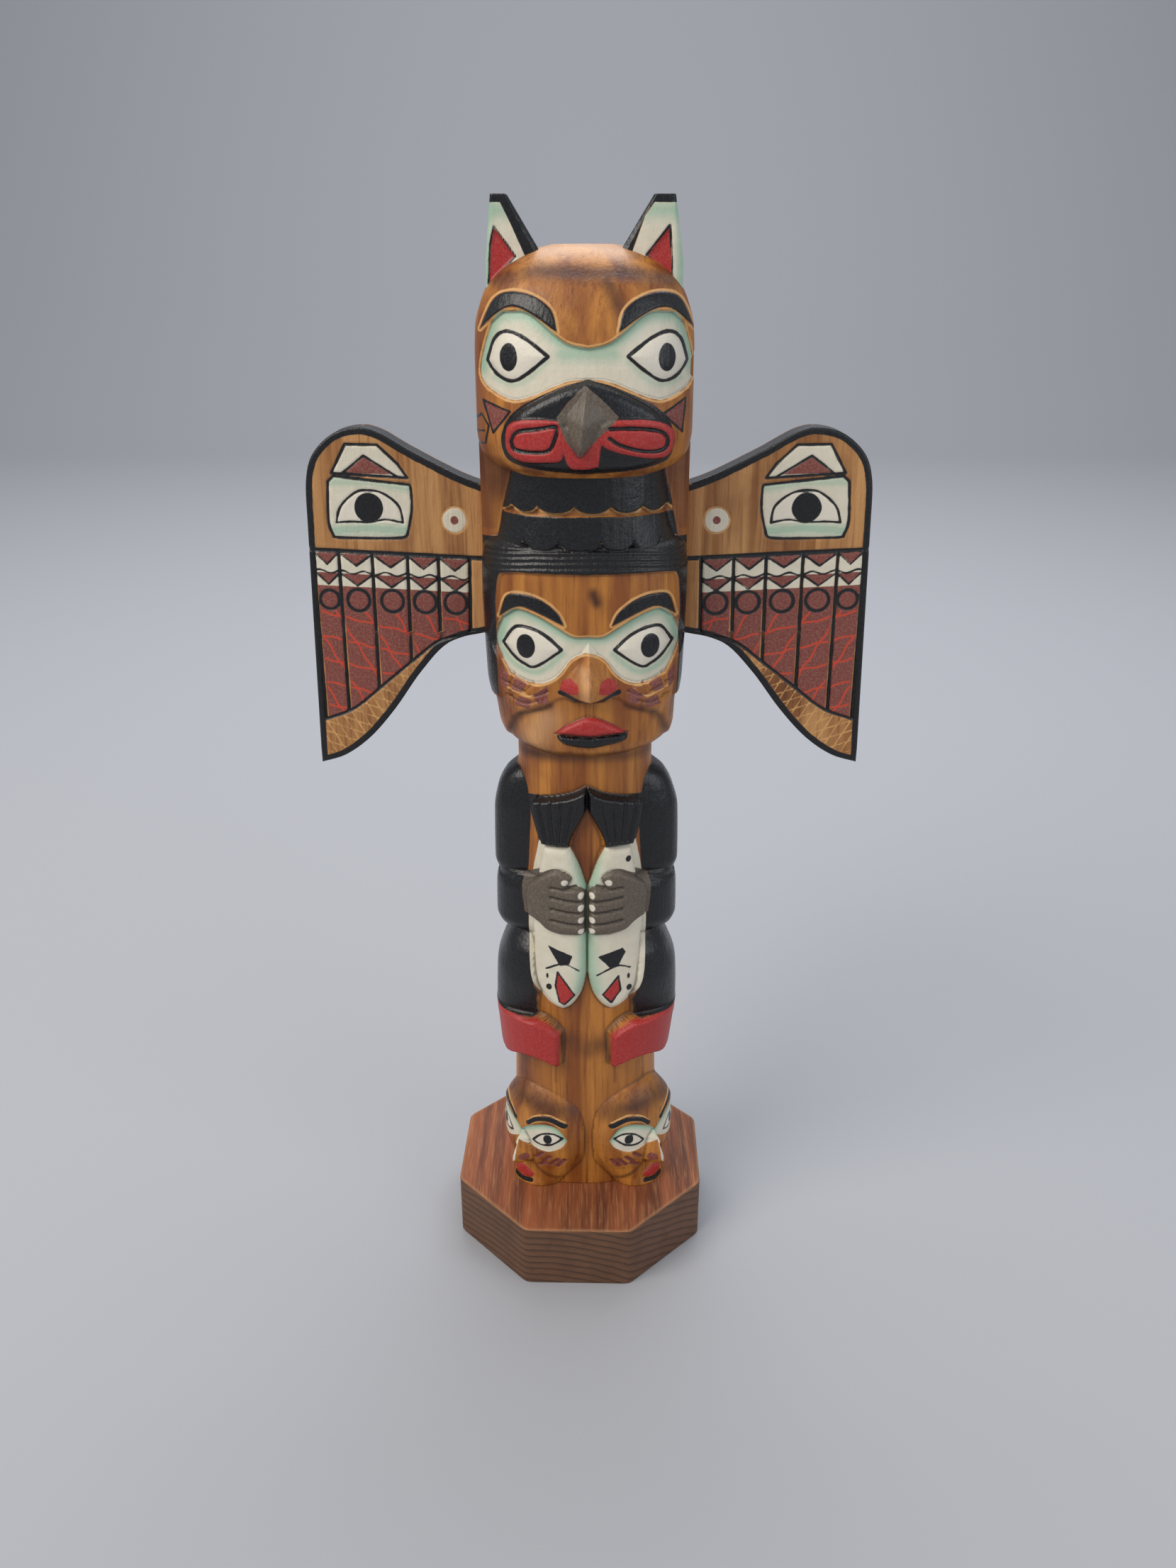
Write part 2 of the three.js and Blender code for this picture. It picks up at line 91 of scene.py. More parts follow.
class TOTEM_PG_sizes(bpy.types.PropertyGroup):
    """Sizes of the carving."""

    muzzle: length("Muzzle", "How far the eagle's muzzle swells from its face", 2.4)
    mask: length("Mask depth", "How far the painted masks are sunk", 1.0)
    feather: length("Feather step", "Height of the lower edge of a chest feather", 1.5)
    groove: length("Groove depth", "Depth of the cuts in the wings", 0.8)
    arris: length("Arris", "How far the plinth's edges are eased", 0.5)


class TOTEM_PG_paints(bpy.types.PropertyGroup):
    """Colours of the wood and of the paints."""

    amber: colour("Amber", "Oiled cedar in the light", "#bf7d33")
    honey: colour("Honey", "The darker bands of the cedar", "#8a4c1a")
    board: colour("Board", "Sawn cedar of the wings in the light", "#c39058")
    board_band: colour("Board band", "The darker grain of the wings", "#94602f")
    # This dark colour is burnt wood, and also the painted shade laid in creases, under the chins and between the
    # feet.
    scorch_and_shade: colour("Scorch", "Burnt and dirt-dark wood", "#3c1c0e")
    scraped: colour("Scraped wood", "Bare cedar at a cut edge", "#d6a263")
    cream: colour("Cream", "Cream paint", "#e0d8c3")
    mint: colour("Mint", "Pale green paint", "#9cc0a6")
    dusty: colour("Dusty red", "Thin red-brown paint", "#7c3a30")
    red: colour("Red", "Bright red paint", "#ab2320")
    taupe: colour("Taupe", "Grey-brown paint of beak and hands", "#5b5044")
    black: colour("Black", "Black paint", "#0b0c10")


class TOTEM_PG_settings(bpy.types.PropertyGroup):
    """Everything a user may change."""

    sizes: PointerProperty(type=TOTEM_PG_sizes)
    paints: PointerProperty(type=TOTEM_PG_paints)


# ---------------------------------------------------------------- curves and distances


def steady(at, heights, values):
    """The smooth curve through the values that overshoots none of them: a cubic between each two, whose
    slope at a value is the harmonic mean of the straight slopes beside it, or 0 where they turn back."""
    heights, values = np.array(heights, float), np.array(values, float)
    step = np.diff(heights)
    slope = np.diff(values) / step
    before, after = slope[:-1], slope[1:]
    same = before * after > 0
    knee = np.where(same, 2 * before * after / np.where(same, before + after, 1), 0)
    knee = np.concatenate([slope[:1], knee, slope[-1:]])
    k = np.clip(np.searchsorted(heights, at) - 1, 0, len(step) - 1)
    t = np.clip((at - heights[k]) / step[k], 0, 1)
    rise = step[k] * t * (1 - t) * ((1 - t) * knee[k] - t * knee[k + 1])
    return values[k] + (values[k + 1] - values[k]) * t * t * (3 - 2 * t) + rise


def outline(*runs):
    """A line of [x, z] points: each run is a smooth curve through its points (at each, the slope is half
    the step from the point before to the point after), or a straight line where it has only two."""
    parts = []
    for run in runs:
        run = np.array(run, float)
        if len(run) > 2:
            held = np.vstack([run[:1], run, run[-1:]])
            a, b, c, d = (held[i : len(held) - 3 + i] for i in range(4))
            t = np.arange(6)[:, None, None] / 6
            run = b + t * (c - a) / 2 + t**2 * (2 * a - 5 * b + 4 * c - d) / 2 + t**3 * (3 * b - a - 3 * c + d) / 2
            run = run.transpose(1, 0, 2).reshape(-1, 2)
            parts.append(run)
        else:
            parts.append(run[:1])
    return np.vstack(parts)


def open_line(run):
    """The smooth line through the points of one run, with its last point kept."""
    return np.vstack([outline(run), [run[-1]]]) if len(run) > 2 else np.array(run, float)


def on_side(points, side, middle):
    """The same points on one side of a middle line: side is 1 for the viewer's right, -1 for the left."""
    return np.column_stack([middle + side * np.array(points, float)[:, 0], np.array(points, float)[:, 1]])


def across(half, middle):
    """An outline across the middle line, from its right half."""
    return np.vstack([on_side(half, 1, middle), on_side(half, -1, middle)[::-1]])


def oval(x, z, half_width, half_height):
    """An oval of 32 points."""
    angle = np.arange(32) * math.tau / 32
    return np.column_stack([x + half_width * np.cos(angle), z + half_height * np.sin(angle)])


def inside(x, z, points, most=4.0):
    """How far each (x, z) lies inside a closed outline, in mm: the distance to its nearest side, negative
    outside, and no more than `most` either way."""
    found = np.full(x.shape, -most)
    low, high = points.min(0) - most, points.max(0) + most
    near = (x > low[0]) & (x < high[0]) & (z > low[1]) & (z < high[1])
    px, pz = x[near], z[near]
    best, within = np.full(px.shape, most**2), np.zeros(px.shape, bool)
    for (ax, az), (bx, bz) in zip(points, np.roll(points, -1, 0)):
        ex, ez = bx - ax, bz - az
        t = np.clip(((px - ax) * ex + (pz - az) * ez) / (ex * ex + ez * ez + 1e-12), 0, 1)
        best = np.minimum(best, (px - ax - t * ex) ** 2 + (pz - az - t * ez) ** 2)
        if az != bz:
            within ^= ((az > pz) != (bz > pz)) & (px < ax + (pz - az) * ex / ez)
    found[near] = np.where(within, np.sqrt(best), -np.sqrt(best))
    return found


def away(x, z, points, most=4.0):
    """How far each (x, z) lies from an open line, in mm, and no more than `most`."""
    points = np.asarray(points, float)
    found = np.full(x.shape, most)
    low, high = points.min(0) - most, points.max(0) + most
    near = (x > low[0]) & (x < high[0]) & (z > low[1]) & (z < high[1])
    px, pz = x[near], z[near]
    best = np.full(px.shape, most**2)
    for (ax, az), (bx, bz) in zip(points[:-1], points[1:]):
        ex, ez = bx - ax, bz - az
        t = np.clip(((px - ax) * ex + (pz - az) * ez) / (ex * ex + ez * ez + 1e-12), 0, 1)
        best = np.minimum(best, (px - ax - t * ex) ** 2 + (pz - az - t * ez) ** 2)
    found[near] = np.sqrt(best)
    return found


def step(depth, width):
    """0 outside an edge and 1 inside it, with a smooth slope `width` wide between."""
    t = np.clip(depth / width + 0.5, 0, 1)
    return t * t * (3 - 2 * t)


def cushion(depth, width):
    """A quarter circle: 0 at an edge, and 1 from `width` inside it."""
    return np.sqrt(1 - (1 - np.clip(depth / width, 0, 1)) ** 2)


# ---------------------------------------------------------------- carving: a height map wound round the axis

PAINTS = ("cream", "dusty", "red", "taupe", "black", "pale", "scraped")  # mm inside the edge of the paint
# The soft shades: pale green paint; burnt wood, which also carries the painted shade in creases and under the chins;
# and painted highlight on the bare wood.
SHADES = ("mint", "scorch_and_shade", "light")  # from 0 to 1
FAR = -4.0


class Loft:
    """A body lofted through stations [height, half width, depth of the front, squareness of the front], and
    the half width on the -x side where that differs.
    On it |x / half width| ^ n + |y / depth| ^ n = 1, with the back half nearly flat."""

    def __init__(self, stations, back=19.0, squareness=4.5):
        self.stations = np.array([s if len(s) == 5 else [*s, s[1]] for s in stations], float)
        self.back, self.squareness = back, squareness

    def reach(self, z, cos, sin, grow=0.0):
        rows, heights = z[:, 0], self.stations[:, 0]
        right, front, power, left = (steady(rows, heights, self.stations[:, i])[:, None] for i in (1, 2, 3, 4))
        rear = np.minimum(self.back, np.minimum(right, left))
        half = np.where(cos < 0, left, right)

        def to(depth, n):
            return ((np.abs(cos) / (half + grow)) ** n + (np.abs(sin) / (depth + grow)) ** n) ** (-1 / n)

        within = ((rows >= heights[0]) & (rows <= heights[-1]))[:, None]
        return np.where(within, np.where(sin < 0, to(front, power), to(rear, self.squareness)), 0.0)

    def place(self, r, cos, sin):
        return r * cos, r * sin


class Egg:
    """A small head turned outwards at the foot. In its own frame a section keeps |x / half| ^ n +
    |y / depth| ^ n = 1, with a wider half towards the middle of the pole than on the outer side.
    It is reached from the pole's axis by halving the step between a point inside and one outside."""

    # height, half width towards the middle, half width on the outer side, depth of the front, squareness
    STATIONS = np.array(
        [
            [24, 11.8, 8, 14.8, 2.7], [
                28.2, 14.6, 9.6, 13.4, 2.4,
            ], [31.8, 17, 11, 13.2, 2.2], [35.7, 18.9, 13.4, 14, 2.1],
            [40, 19.9, 15.6, 14.6, 2], [
                44.6, 20.2, 16.8, 14.6, 2,
            ], [53.9, 18.9, 15, 14, 2], [58.5, 17.2, 12.2, 12.6, 2],
            [61.3, 15.4, 9.8, 11.3, 2], [64.3, 12.4, 6.8, 9.4, 2], [67, 6.5, 4, 6, 2],
        ]
    )

    def __init__(self, side):
        self.side, self.turn = side, math.radians(side * 37.7)
        self.centre = (1.1 + side * 15.4, -7.0)

    def into(self, x, y):
        c, s = math.cos(self.turn), math.sin(self.turn)
        return c * x + s * y, c * y - s * x

    def reach(self, z, cos, sin, grow=0.0):
        rows, levels = z[:, 0], self.STATIONS[:, 0]
        inner, outer, front, power = (steady(rows, levels, self.STATIONS[:, i])[:, None] for i in range(1, 5))

        def outside(r):
            x, y = self.place(r, cos, sin)
            half = np.where(-self.side * x > 0, inner, outer) + grow
            depth = np.where(y < 0, front, np.minimum(10.0, outer)) + grow
            return (np.abs(x) / half) ** power + (np.abs(y) / depth) ** power > 1

        near = self.centre[0] * cos + self.centre[1] * sin + 0 * z
        within = ((rows >= levels[0]) & (rows <= levels[-1]))[:, None] & (near > 0) & ~outside(near)
        far = near + 30.0
        for _ in range(22):
            middle = (near + far) / 2
            out = outside(middle)
            near, far = np.where(out, near, middle), np.where(out, middle, far)
        return np.where(within, near, 0.0)

    def place(self, r, cos, sin):
        return self.into(r * cos - self.centre[0], r * sin - self.centre[1])


class Carving:
    """A closed body as a height map wound round the axis: for each height and angle one radius, and for
    each paint the distance in mm to the nearest edge of it, positive inside."""

    def __init__(self, heights, turns):
        self.z = heights[:, None] + 0 * turns[None, :]
        self.cos, self.sin = np.cos(turns)[None, :], np.sin(turns)[None, :]
        self.r = np.zeros_like(self.z)
        self.paint = {name: np.full(self.z.shape, FAR) for name in PAINTS}
        self.paint.update({name: np.zeros(self.z.shape) for name in SHADES})

    def reach(self, body, grow=0.0):
        return body.reach(self.z, self.cos, self.sin, grow)

    def depth(self, body, r, shape):
        """How far each point at radius r lies inside the shape, seen from the front of the body."""
        x, y = body.place(r, self.cos, self.sin)
        return np.where(y < 0, inside(x, self.z, shape), FAR)

    def add(self, body):
        """The body joined on; returns how far it stands proud of what was there."""
        r = self.reach(body)
        proud = r - self.r
        self.r = np.maximum(self.r, r)
        return proud

    def raised(self, body, shape, height, width=0.7, rounded=0.0):
        """The body swollen by `height` inside the shape, with a sloped or a rounded edge."""
        top = self.reach(body, height)
        depth = self.depth(body, top, shape)
        share = cushion(depth, rounded) if rounded else step(depth, width)
        self.r = np.maximum(self.r, self.r + (top - self.r) * share)

    def sunk(self, body, shape, height, width=0.7):
        """Cut down, inside the shape, to the body swollen by `height`."""
        low = self.reach(body, height)
        share = step(self.depth(body, low, shape), width)
        self.r = np.minimum(self.r, self.r + (low - self.r) * share)

    def cut(self, points, half, deep, body=None):
        """A V groove along an open line."""
        x, y = self.flat(body)
        d = np.where(y < 0, away(x, self.z, points), 4.0)
        self.r = self.r - deep * np.clip(1 - d / half, 0, 1)

    def roof(self, body, ribs):
        """A nose or beak with a sharp ridge. Each rib is [height, x of the ridge, its depth, half width to
        the left, half width to the right, depth at the sides]; the roof falls straight from ridge to side."""
        ribs = np.array(ribs, float)
        rows = self.z[:, 0]
        ridge, front, left, right, side = (steady(rows, ribs[:, 0], ribs[:, i])[:, None] for i in range(1, 6))
        r = self.r.copy()
        for _ in range(6):
            x, y = body.place(r, self.cos, self.sin)
            off = np.abs(x - ridge) / np.where(x < ridge, left, right)
            wanted = front - (front - side) * off
            r = np.where(y < -1, r * np.clip(wanted / np.maximum(-y, 1e-6), 0.5, 2), r)
        x, y = body.place(r, self.cos, self.sin)
        within = (rows >= ribs[0, 0]) & (rows <= ribs[-1, 0])
        off = np.abs(x - ridge) / np.where(x < ridge, left, right)
        use = within[:, None] & (off < 1.15) & (y < -1)
        self.r = np.where(use, np.maximum(self.r, r), self.r)

    # painting, on the finished shape
    def flat(self, body=None):
        x, y = body.place(self.r, self.cos, self.sin) if body else (self.r * self.cos, self.r * self.sin)
        return x, y

    def fill(self, paint, shape, body=None, spread=0.0):
        """Paint inside the shape, spread a little past its edge."""
        x, y = self.flat(body)
        depth = np.where(y < 0, inside(x, self.z, shape) + spread, FAR)
        self.paint[paint] = np.maximum(self.paint[paint], depth)

    def bare(self, paint, shape, body=None, spread=0.0):
        """The paint taken away inside the shape."""
        x, y = self.flat(body)
        depth = np.where(y < 0, inside(x, self.z, shape) + spread, FAR)
        self.paint[paint] = np.minimum(self.paint[paint], -depth)

    def line(self, paint, points, half, body=None, closed=False, shift=0.0):
        """A painted line of half width `half`; a closed one may be shifted inwards."""
        x, y = self.flat(body)
        d = np.abs(inside(x, self.z, points) - shift) if closed else away(x, self.z, points)
        self.paint[paint] = np.maximum(self.paint[paint], np.where(y < 0, half - d, FAR))

    def shade(self, name, points, width, amount=1.0, body=None):
        """A soft shade along a line, which fades as a bell curve."""
        x, y = self.flat(body)
        d = away(x, self.z, points, 3 * width)
        self.paint[name] = np.maximum(self.paint[name], np.where(y < 0, amount * np.exp(-((d / width) ** 2)), 0))


def turns(front_count, back_count, half, front, back):
    """Angles round the axis, evenly spaced along a rounded section: the front half (y < 0) first."""
    angle = np.linspace(math.pi, math.tau, 2001)
    found = []
    for start, depth, n, count in ((math.pi, front, 2.4, front_count), (0.0, back, 4.5, back_count)):
        a = angle - math.pi + start
        r = ((np.abs(np.cos(a)) / half) ** n + (np.abs(np.sin(a)) / depth) ** n) ** (-1 / n)
        along = np.concatenate([[0], np.cumsum(np.hypot(np.diff(r * np.cos(a)), np.diff(r * np.sin(a))))])
        found.append(np.interp(np.arange(count) / count * along[-1], along, a))
    return np.concatenate(found)


def heights(stations, gap, low=None, high=None):
    """Heights of the rows, evenly spaced along the side of a lofted body."""
    stations = np.array(stations, float)
    z = np.linspace(stations[0, 0] if low is None else low, stations[-1, 0] if high is None else high, 4001)
    wide = steady(z, stations[:, 0], stations[:, 1])
    deep = steady(z, stations[:, 0], stations[:, 2])
    along = np.concatenate([[0], np.cumsum(np.hypot(np.maximum(abs(np.diff(wide)), abs(np.diff(deep))), np.diff(z)))])
    return np.interp(np.linspace(0, along[-1], int(along[-1] / gap) + 1), along, z)


# ---------------------------------------------------------------- meshes


def sides_of(rows, columns, first=0):
    """Four corners of every face of a grid of rings, the last column joined to the first."""
    i, j = np.meshgrid(np.arange(rows - 1), np.arange(columns), indexing="ij")
    k = (j + 1) % columns
    return first + np.stack(
        [i * columns + j, i * columns + k, (i + 1) * columns + k, (i + 1) * columns + j], -1,
    ).reshape(-1, 4)


def tube(points, values):
    """Rings of points, closed at both ends by a fan round the middle of the end ring. Returns the points,
    the faces of four corners, those of three, and the values carried to the two middles."""
    rows, columns = points.shape[:2]
    flat = points.reshape(-1, 3)
    ends = np.array([points[0].mean(0), points[-1].mean(0)])
    j = np.arange(columns)
    k = (j + 1) % columns
    below = np.stack([k, j, np.full(columns, len(flat))], -1)
    top = (rows - 1) * columns
    above = np.stack([top + j, top + k, np.full(columns, len(flat) + 1)], -1)
    carried = {n: np.concatenate([v.ravel(), [v[0].mean(), v[-1].mean()]]) for n, v in values.items()}
    return np.vstack([flat, ends]), sides_of(rows, columns), np.vstack([below, above]), carried


def make(name, parts, material, node, smooth=True):
    """One object from closed parts, in metres, riding on the root and standing for its CAD node."""
    corners, quads, threes, values, first = [], [], [], {}, 0
    for points, four, three, carried in parts:
        corners.append(points)
        quads.append(four + first)
        threes.append(three + first)
        for key, value in carried.items():
            values.setdefault(key, []).append(value)
        first += len(points)
    corners, quads, threes = np.vstack(corners) / 1000, np.vstack(quads), np.vstack(threes)
    mesh = bpy.data.meshes.new(name)
    mesh.vertices.add(len(corners))
    mesh.vertices.foreach_set("co", corners.ravel())
    mesh.loops.add(quads.size + threes.size)
    mesh.loops.foreach_set("vertex_index", np.concatenate([quads.ravel(), threes.ravel()]))
    mesh.polygons.add(len(quads) + len(threes))
    starts = np.concatenate([np.arange(len(quads)) * 4, quads.size + np.arange(len(threes)) * 3])
    mesh.polygons.foreach_set("loop_start", starts)
    mesh.polygons.foreach_set("use_smooth", np.full(len(starts), smooth))
    for key, value in values.items():
        mesh.attributes.new(key, "FLOAT", "POINT").data.foreach_set("value", np.concatenate(value).astype(np.float32))
    mesh.update(calc_edges=True)
    if mesh.validate():
        raise RuntimeError(name + " has faces that Blender can't keep")
    piece = bpy.data.objects.new(name, mesh)
    bpy.context.collection.objects.link(piece)
    mesh.materials.append(material)
    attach(piece, "root")
    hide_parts(node)
    return piece


def carved(work, cleft=0.35):
    """The points of a carving, and its paints with the hollows and ridges of the shape added, which the
    material uses to paint shade into the hollows: the radius less its average over the neighbourhood is
    positive on a ridge and negative in a hollow."""
    x, y = work.r * work.cos, work.r * work.sin
    smooth = work.r.copy()
    for _ in range(3):
        smooth = (np.roll(smooth, 1, 1) + smooth + np.roll(smooth, -1, 1)) / 3
        smooth[1:-1] = (smooth[:-2] + smooth[1:-1] + smooth[2:]) / 3
    relief = np.clip((work.r - smooth) / cleft, -1, 1)
    relief[:2] = relief[-2:] = 0
    values = dict(work.paint, relief=relief)
    return tube(np.stack([x + POLE_X, y, work.z], -1), values)


# ---------------------------------------------------------------- the eagle's head

EAGLE = Loft(
    [
        [278.8, 22, 23, 2.4], [281.5, 28, 26, 2.4], [285, 31, 27.4, 2.4], [291, 32, 28, 2.4],
        [310, 32, 26.3, 2.4], [319, 31.6, 24.6, 2.4], [326, 29.7, 22.4, 2.4], [330, 27.8, 20.4, 2.4],
        [333, 25.3, 17.8, 2.4], [336.4, 21, 14.4, 2.3], [339, 15.8, 10.4, 2.2], [340.5, 9.5, 6.4, 2.1],
    ]
)
EAGLE_EYE = outline(
    [[11.1, 311.7], [17.5, 316.3], [22.5, 318], [26, 316], [28.2, 310.4]],
    [[28.2, 310.4], [25.3, 306.8], [21, 305.3], [16.7, 307.4], [11.1, 311.7]],
)
EAGLE_MASK = outline(
    [[0, 313.8], [6.5, 315.5], [15.5, 322.4], [21, 323.2], [26, 321.4], [30.6, 308], [28.2, 303.2]],
    [[28.2, 303.2], [22, 300.4], [16.8, 301], [6, 305.2], [0, 305.6]],
)
EAGLE_BROW = outline(
    [[8.5, 318], [10, 323.5], [14.8, 327], [21, 328.2], [26.3, 326.2], [30.5, 318.5]],
    [[30.5, 318.5], [23, 324], [17, 323.3], [8.5, 318]],
)
MUZZLE = outline(
    [[0, 305.5], [6, 304], [13.8, 300.8], [21, 296.5], [24.3, 290], [22.5, 284], [14, 281.6], [0, 280.5]],
)
LIP = {
    -1: outline([[-22.6, 290.9], [-21.3, 293.9], [-16.7, 295.6], [-6.8, 295.3], [-6.2, 293.8], [-5.9, 285.2], [-10.9, 283.8], [-18, 283.9], [-22.1, 286.5], [-22.6, 290.9]]),
    1: outline([[4.1, 294.3], [9, 295.6], [19, 295.3], [24.2, 293.1], [25.8, 290], [24.4, 285.3], [18.2, 284.8], [9.1, 286.7], [4.5, 289.1], [4.1, 294.3]]),
}
LIP_LOOP = {
    -1: open_line([[-20.5, 289.5], [-18.8, 292.1], [-12.8, 293.1], [-7.8, 293.7], [-8.4, 289.9], [-10.8, 287], [-18.9, 287.1], [-20.5, 289.5]]),
    1: open_line([[7.2, 293.2], [14, 293.2], [20.4, 292.4], [23.3, 290.4], [22.4, 287.4], [17.4, 286.9], [10.4, 288.6], [7, 290.6]]),
}
TONGUE = outline(
    [[-7.8, 293.7], [-4.9, 283.3], [-1.3, 281.8], [3.1, 282.4], [4.1, 283.3], [5.4, 293.8]],
    [[5.4, 293.8], [-7.8, 293.7]],
)
BEAK = outline(
    [[0, 304.4], [-3.4, 301], [-7.6, 296.2]], [[-7.6, 296.2], [-4.8, 289.7]], [[-4.8, 289.7], [-1.3, 285.8]],
    [[-1.3, 285.8], [3.4, 290.6]], [[3.4, 290.6], [9.4, 296.2]], [[9.4, 296.2], [5, 300.6], [0, 304.4]],
)


def eyes(work, eye, pupil, size):
    """Two almond eyes: the black line of the lids, the pale ball and a dark pupil."""
    for side in (-1, 1):
        lids = on_side(eye, side, FACE)
        px, pz = FACE + side * pupil[0], pupil[1]
        work.fill("pale", lids)
        work.line("black", lids, 0.5, closed=True, shift=-0.1)
        work.fill("black", oval(px, pz, *size))


def eagle_head():
    """The eagle's head down to the crease of its jaw."""
    work = Carving(heights(EAGLE.stations, 0.36), turns(290, 64, 32, 26, 19))
    work.add(EAGLE)
    mask = across(EAGLE_MASK, FACE)
    sizes = bpy.context.scene.totem.sizes
    sink = sizes.mask * 1000
    work.sunk(EAGLE, mask, -sink, 0.8)
    for side in (-1, 1):
        work.raised(EAGLE, on_side(EAGLE_BROW, side, FACE), 0.5, 0.8)
        work.raised(EAGLE, on_side(EAGLE_EYE, side, FACE), 0.1, rounded=5.0)
    work.raised(EAGLE, across(MUZZLE, FACE), sizes.muzzle * 1000, rounded=3.0)
    work.raised(EAGLE, TONGUE, 3.2, rounded=1.2)
    for side in (-1, 1):
        work.raised(EAGLE, LIP[side], 3.3, rounded=1.4)
        work.cut(LIP_LOOP[side], 0.8, 0.9)
    work.roof(
        EAGLE,
        [
            [285.9, -1.2, 32.4, 0.6, 0.6, 31], [288.4, -1, 34.6, 3.0, 3.4, 30], [289.6, -1, 34.7, 4.2, 4.6, 29.4],
            [294, -0.4, 34.4, 6.6, 8, 28.4], [296.2, -0.2, 33.6, 7.6, 9.4, 28], [301.5, 0.4, 31, 3.6, 4.4, 27.5],
            [304.6, 0.4, 26.5, 0.8, 0.8, 25],
        ],
    )
    work.fill("cream", mask)
    for side in (-1, 1):
        work.fill("black", on_side(EAGLE_BROW, side, FACE))
        top = open_line([[0, 313.4], [6.5, 315], [15.5, 321.6], [21, 322.4], [26, 320.4], [30, 308]])
        work.shade("mint", on_side(top, side, FACE), 2.1, 0.95)
        under = open_line([[11, 310.6], [16.7, 305.6], [21, 304.2], [26.4, 305.8]])
        work.shade("mint", on_side(under, side, FACE), 1.0, 0.5)
    work.shade("mint", [[-6, 312.4], [8, 312.4]], 2.2, 0.8)
    eyes(work, EAGLE_EYE, (22.0, 311.4), (2.5, 3.7))
    work.fill("black", across(MUZZLE, FACE), spread=0.3)
    for side in (-1, 1):
        work.fill("red", LIP[side])
        work.bare("black", LIP[side], spread=-0.2)
        work.line("black", LIP_LOOP[side], 0.55)
    work.fill("red", TONGUE)
    work.bare("black", TONGUE, spread=-0.2)
    work.fill("taupe", BEAK, spread=0.2)
    work.bare("red", BEAK, spread=0.1)
    work.bare("black", BEAK, spread=0.1)
    for triangle in (
        [[-28.9, 299.7], [-20.8, 297.1], [-26, 291]],
        [[22.1, 296.5], [28.9, 300.3], [28, 291.1]],
    ):
        shape = np.array(triangle, float)
        work.fill("dusty", shape)
        work.line("black", shape, 0.3, closed=True)
    work.line("black", [[-32, 293.9], [-29.5, 295.7], [-27.3, 292.7], [-28.6, 287.6], [-31.3, 287.3]], 0.35)
    work.line("black", [[-31.6, 290.6], [-28.8, 291.2]], 0.3)
    # bare wood cut back along the painted edges
    work.line("scraped", mask, 0.3, closed=True, shift=-0.5)
    for side in (-1, 1):
        work.line("scraped", on_side(EAGLE_BROW, side, FACE), 0.3, closed=True, shift=-0.5)
    # scorched bands of the forehead
    work.shade("scorch_and_shade", [[-24, 331.5], [-14, 333.5], [0, 332.5], [12, 333], [24, 331]], 2.4, 0.75)
    work.shade("scorch_and_shade", [[6, 331], [9, 325], [10.5, 320]], 2.6, 0.8)
    # painted highlight across the top of the head
    work.shade("light", [[-12, 338.6], [0, 339.4], [11, 338.6]], 3.0, 0.8)
    return carved(work)


def ear(side):
    """A pricked ear that leans out: each ring is a rounded triangle, its corners moving straight from the
    foot to the tip. Painted black down its inner edge, cream and mint in front, with a red hollow."""
    outer, inner, inner_foot = (26.0, 21.6, 10.9) if side < 0 else (25.2, 19.4, 8.4)
    foot = np.array([[27.8, -7.4], [inner_foot, -7.4], [inner_foot, 0.8], [27.5, 1.8]])
    tip = np.array([[outer, -7.2], [inner, -7.2], [inner, -1.0], [outer - 0.2, -1.0]])
    rows, count = 60, 30
    t = np.linspace(0, 1, rows)
    z = 326 + t * 27.0
    share = np.clip((z - 336) / 17.2, 0, 1)
    corner = foot + (tip - foot) * share[:, None, None]
    walk = np.linspace(0, 4, 4 * count, endpoint=False)
    k, f = walk.astype(int), walk % 1
    ring = corner[:, k] * (1 - f)[None, :, None] + corner[:, (k + 1) % 4] * f[None, :, None]
    middle = corner.mean(1)[:, None]
    near = np.minimum(f, 1 - f)
    ring = ring + (middle - ring) * (0.10 * np.exp(-((near / 0.07) ** 2)))[None, :, None]
    x, y = ring[..., 0], ring[..., 1]
    zz = np.broadcast_to(z[:, None], x.shape)
    paint = {name: np.full(x.shape, FAR) for name in PAINTS}
    paint.update({name: np.zeros(x.shape) for name in SHADES})
    ahead = y < -5.5
    left = {
        "edge": [[23.5, 351.5], [20.5, 345.7], [17.1, 338.5], [14.5, 333]],
        "rim": [[27.5, 348.3], [24.3, 350.3]],
        "red": [[25.1, 344.8], [19.3, 337.2], [26.9, 330.2], [26.2, 340.3]],
    }
    right = {
        "edge": [[19.7, 351.5], [16.8, 347.5], [14, 340.3], [11.4, 333]],
        "rim": [[24.6, 351], [21.0, 351.8]],
        "red": [[23.7, 345.1], [17.4, 337.6], [24.7, 331.4]],
    }
    marks = left if side < 0 else right
    edge = np.array(marks["edge"], float)
    band = np.interp(zz, edge[::-1, 1], edge[::-1, 0])
    paint["black"] = np.where(ahead, np.maximum(band - x, zz - 350.9), 2.0)
    paint["cream"] = np.where(ahead, x - band, FAR)
    hollow = np.array(marks["red"], float)
    d = inside(x, zz, hollow)
    paint["red"] = np.where(ahead, d, FAR)
    paint["black"] = np.maximum(paint["black"], np.where(ahead, 0.3 - np.abs(d + 0.1), FAR))
    paint["mint"] = np.where(
        ahead, np.exp(-(((x - 27.2) / 1.6) ** 2)) * 0.9 + 0.8 * np.exp(-(((zz - 349) / 2.5) ** 2)), 0,
    ).clip(0, 1)
    depth = 0.9 * step(d, 1.2)
    y = np.where(ahead, y + depth, y)
    points = np.stack([side * x + POLE_X, y, zz], -1)
    if side < 0:
        points, paint = points[:, ::-1], {n: v[:, ::-1] for n, v in paint.items()}
    points = points[:, ::-1]
    paint = {n: v[:, ::-1] for n, v in paint.items()}
    return tube(points, dict(paint, relief=np.zeros(x.shape)))


# ---------------------------------------------------------------- the chest and the man's head

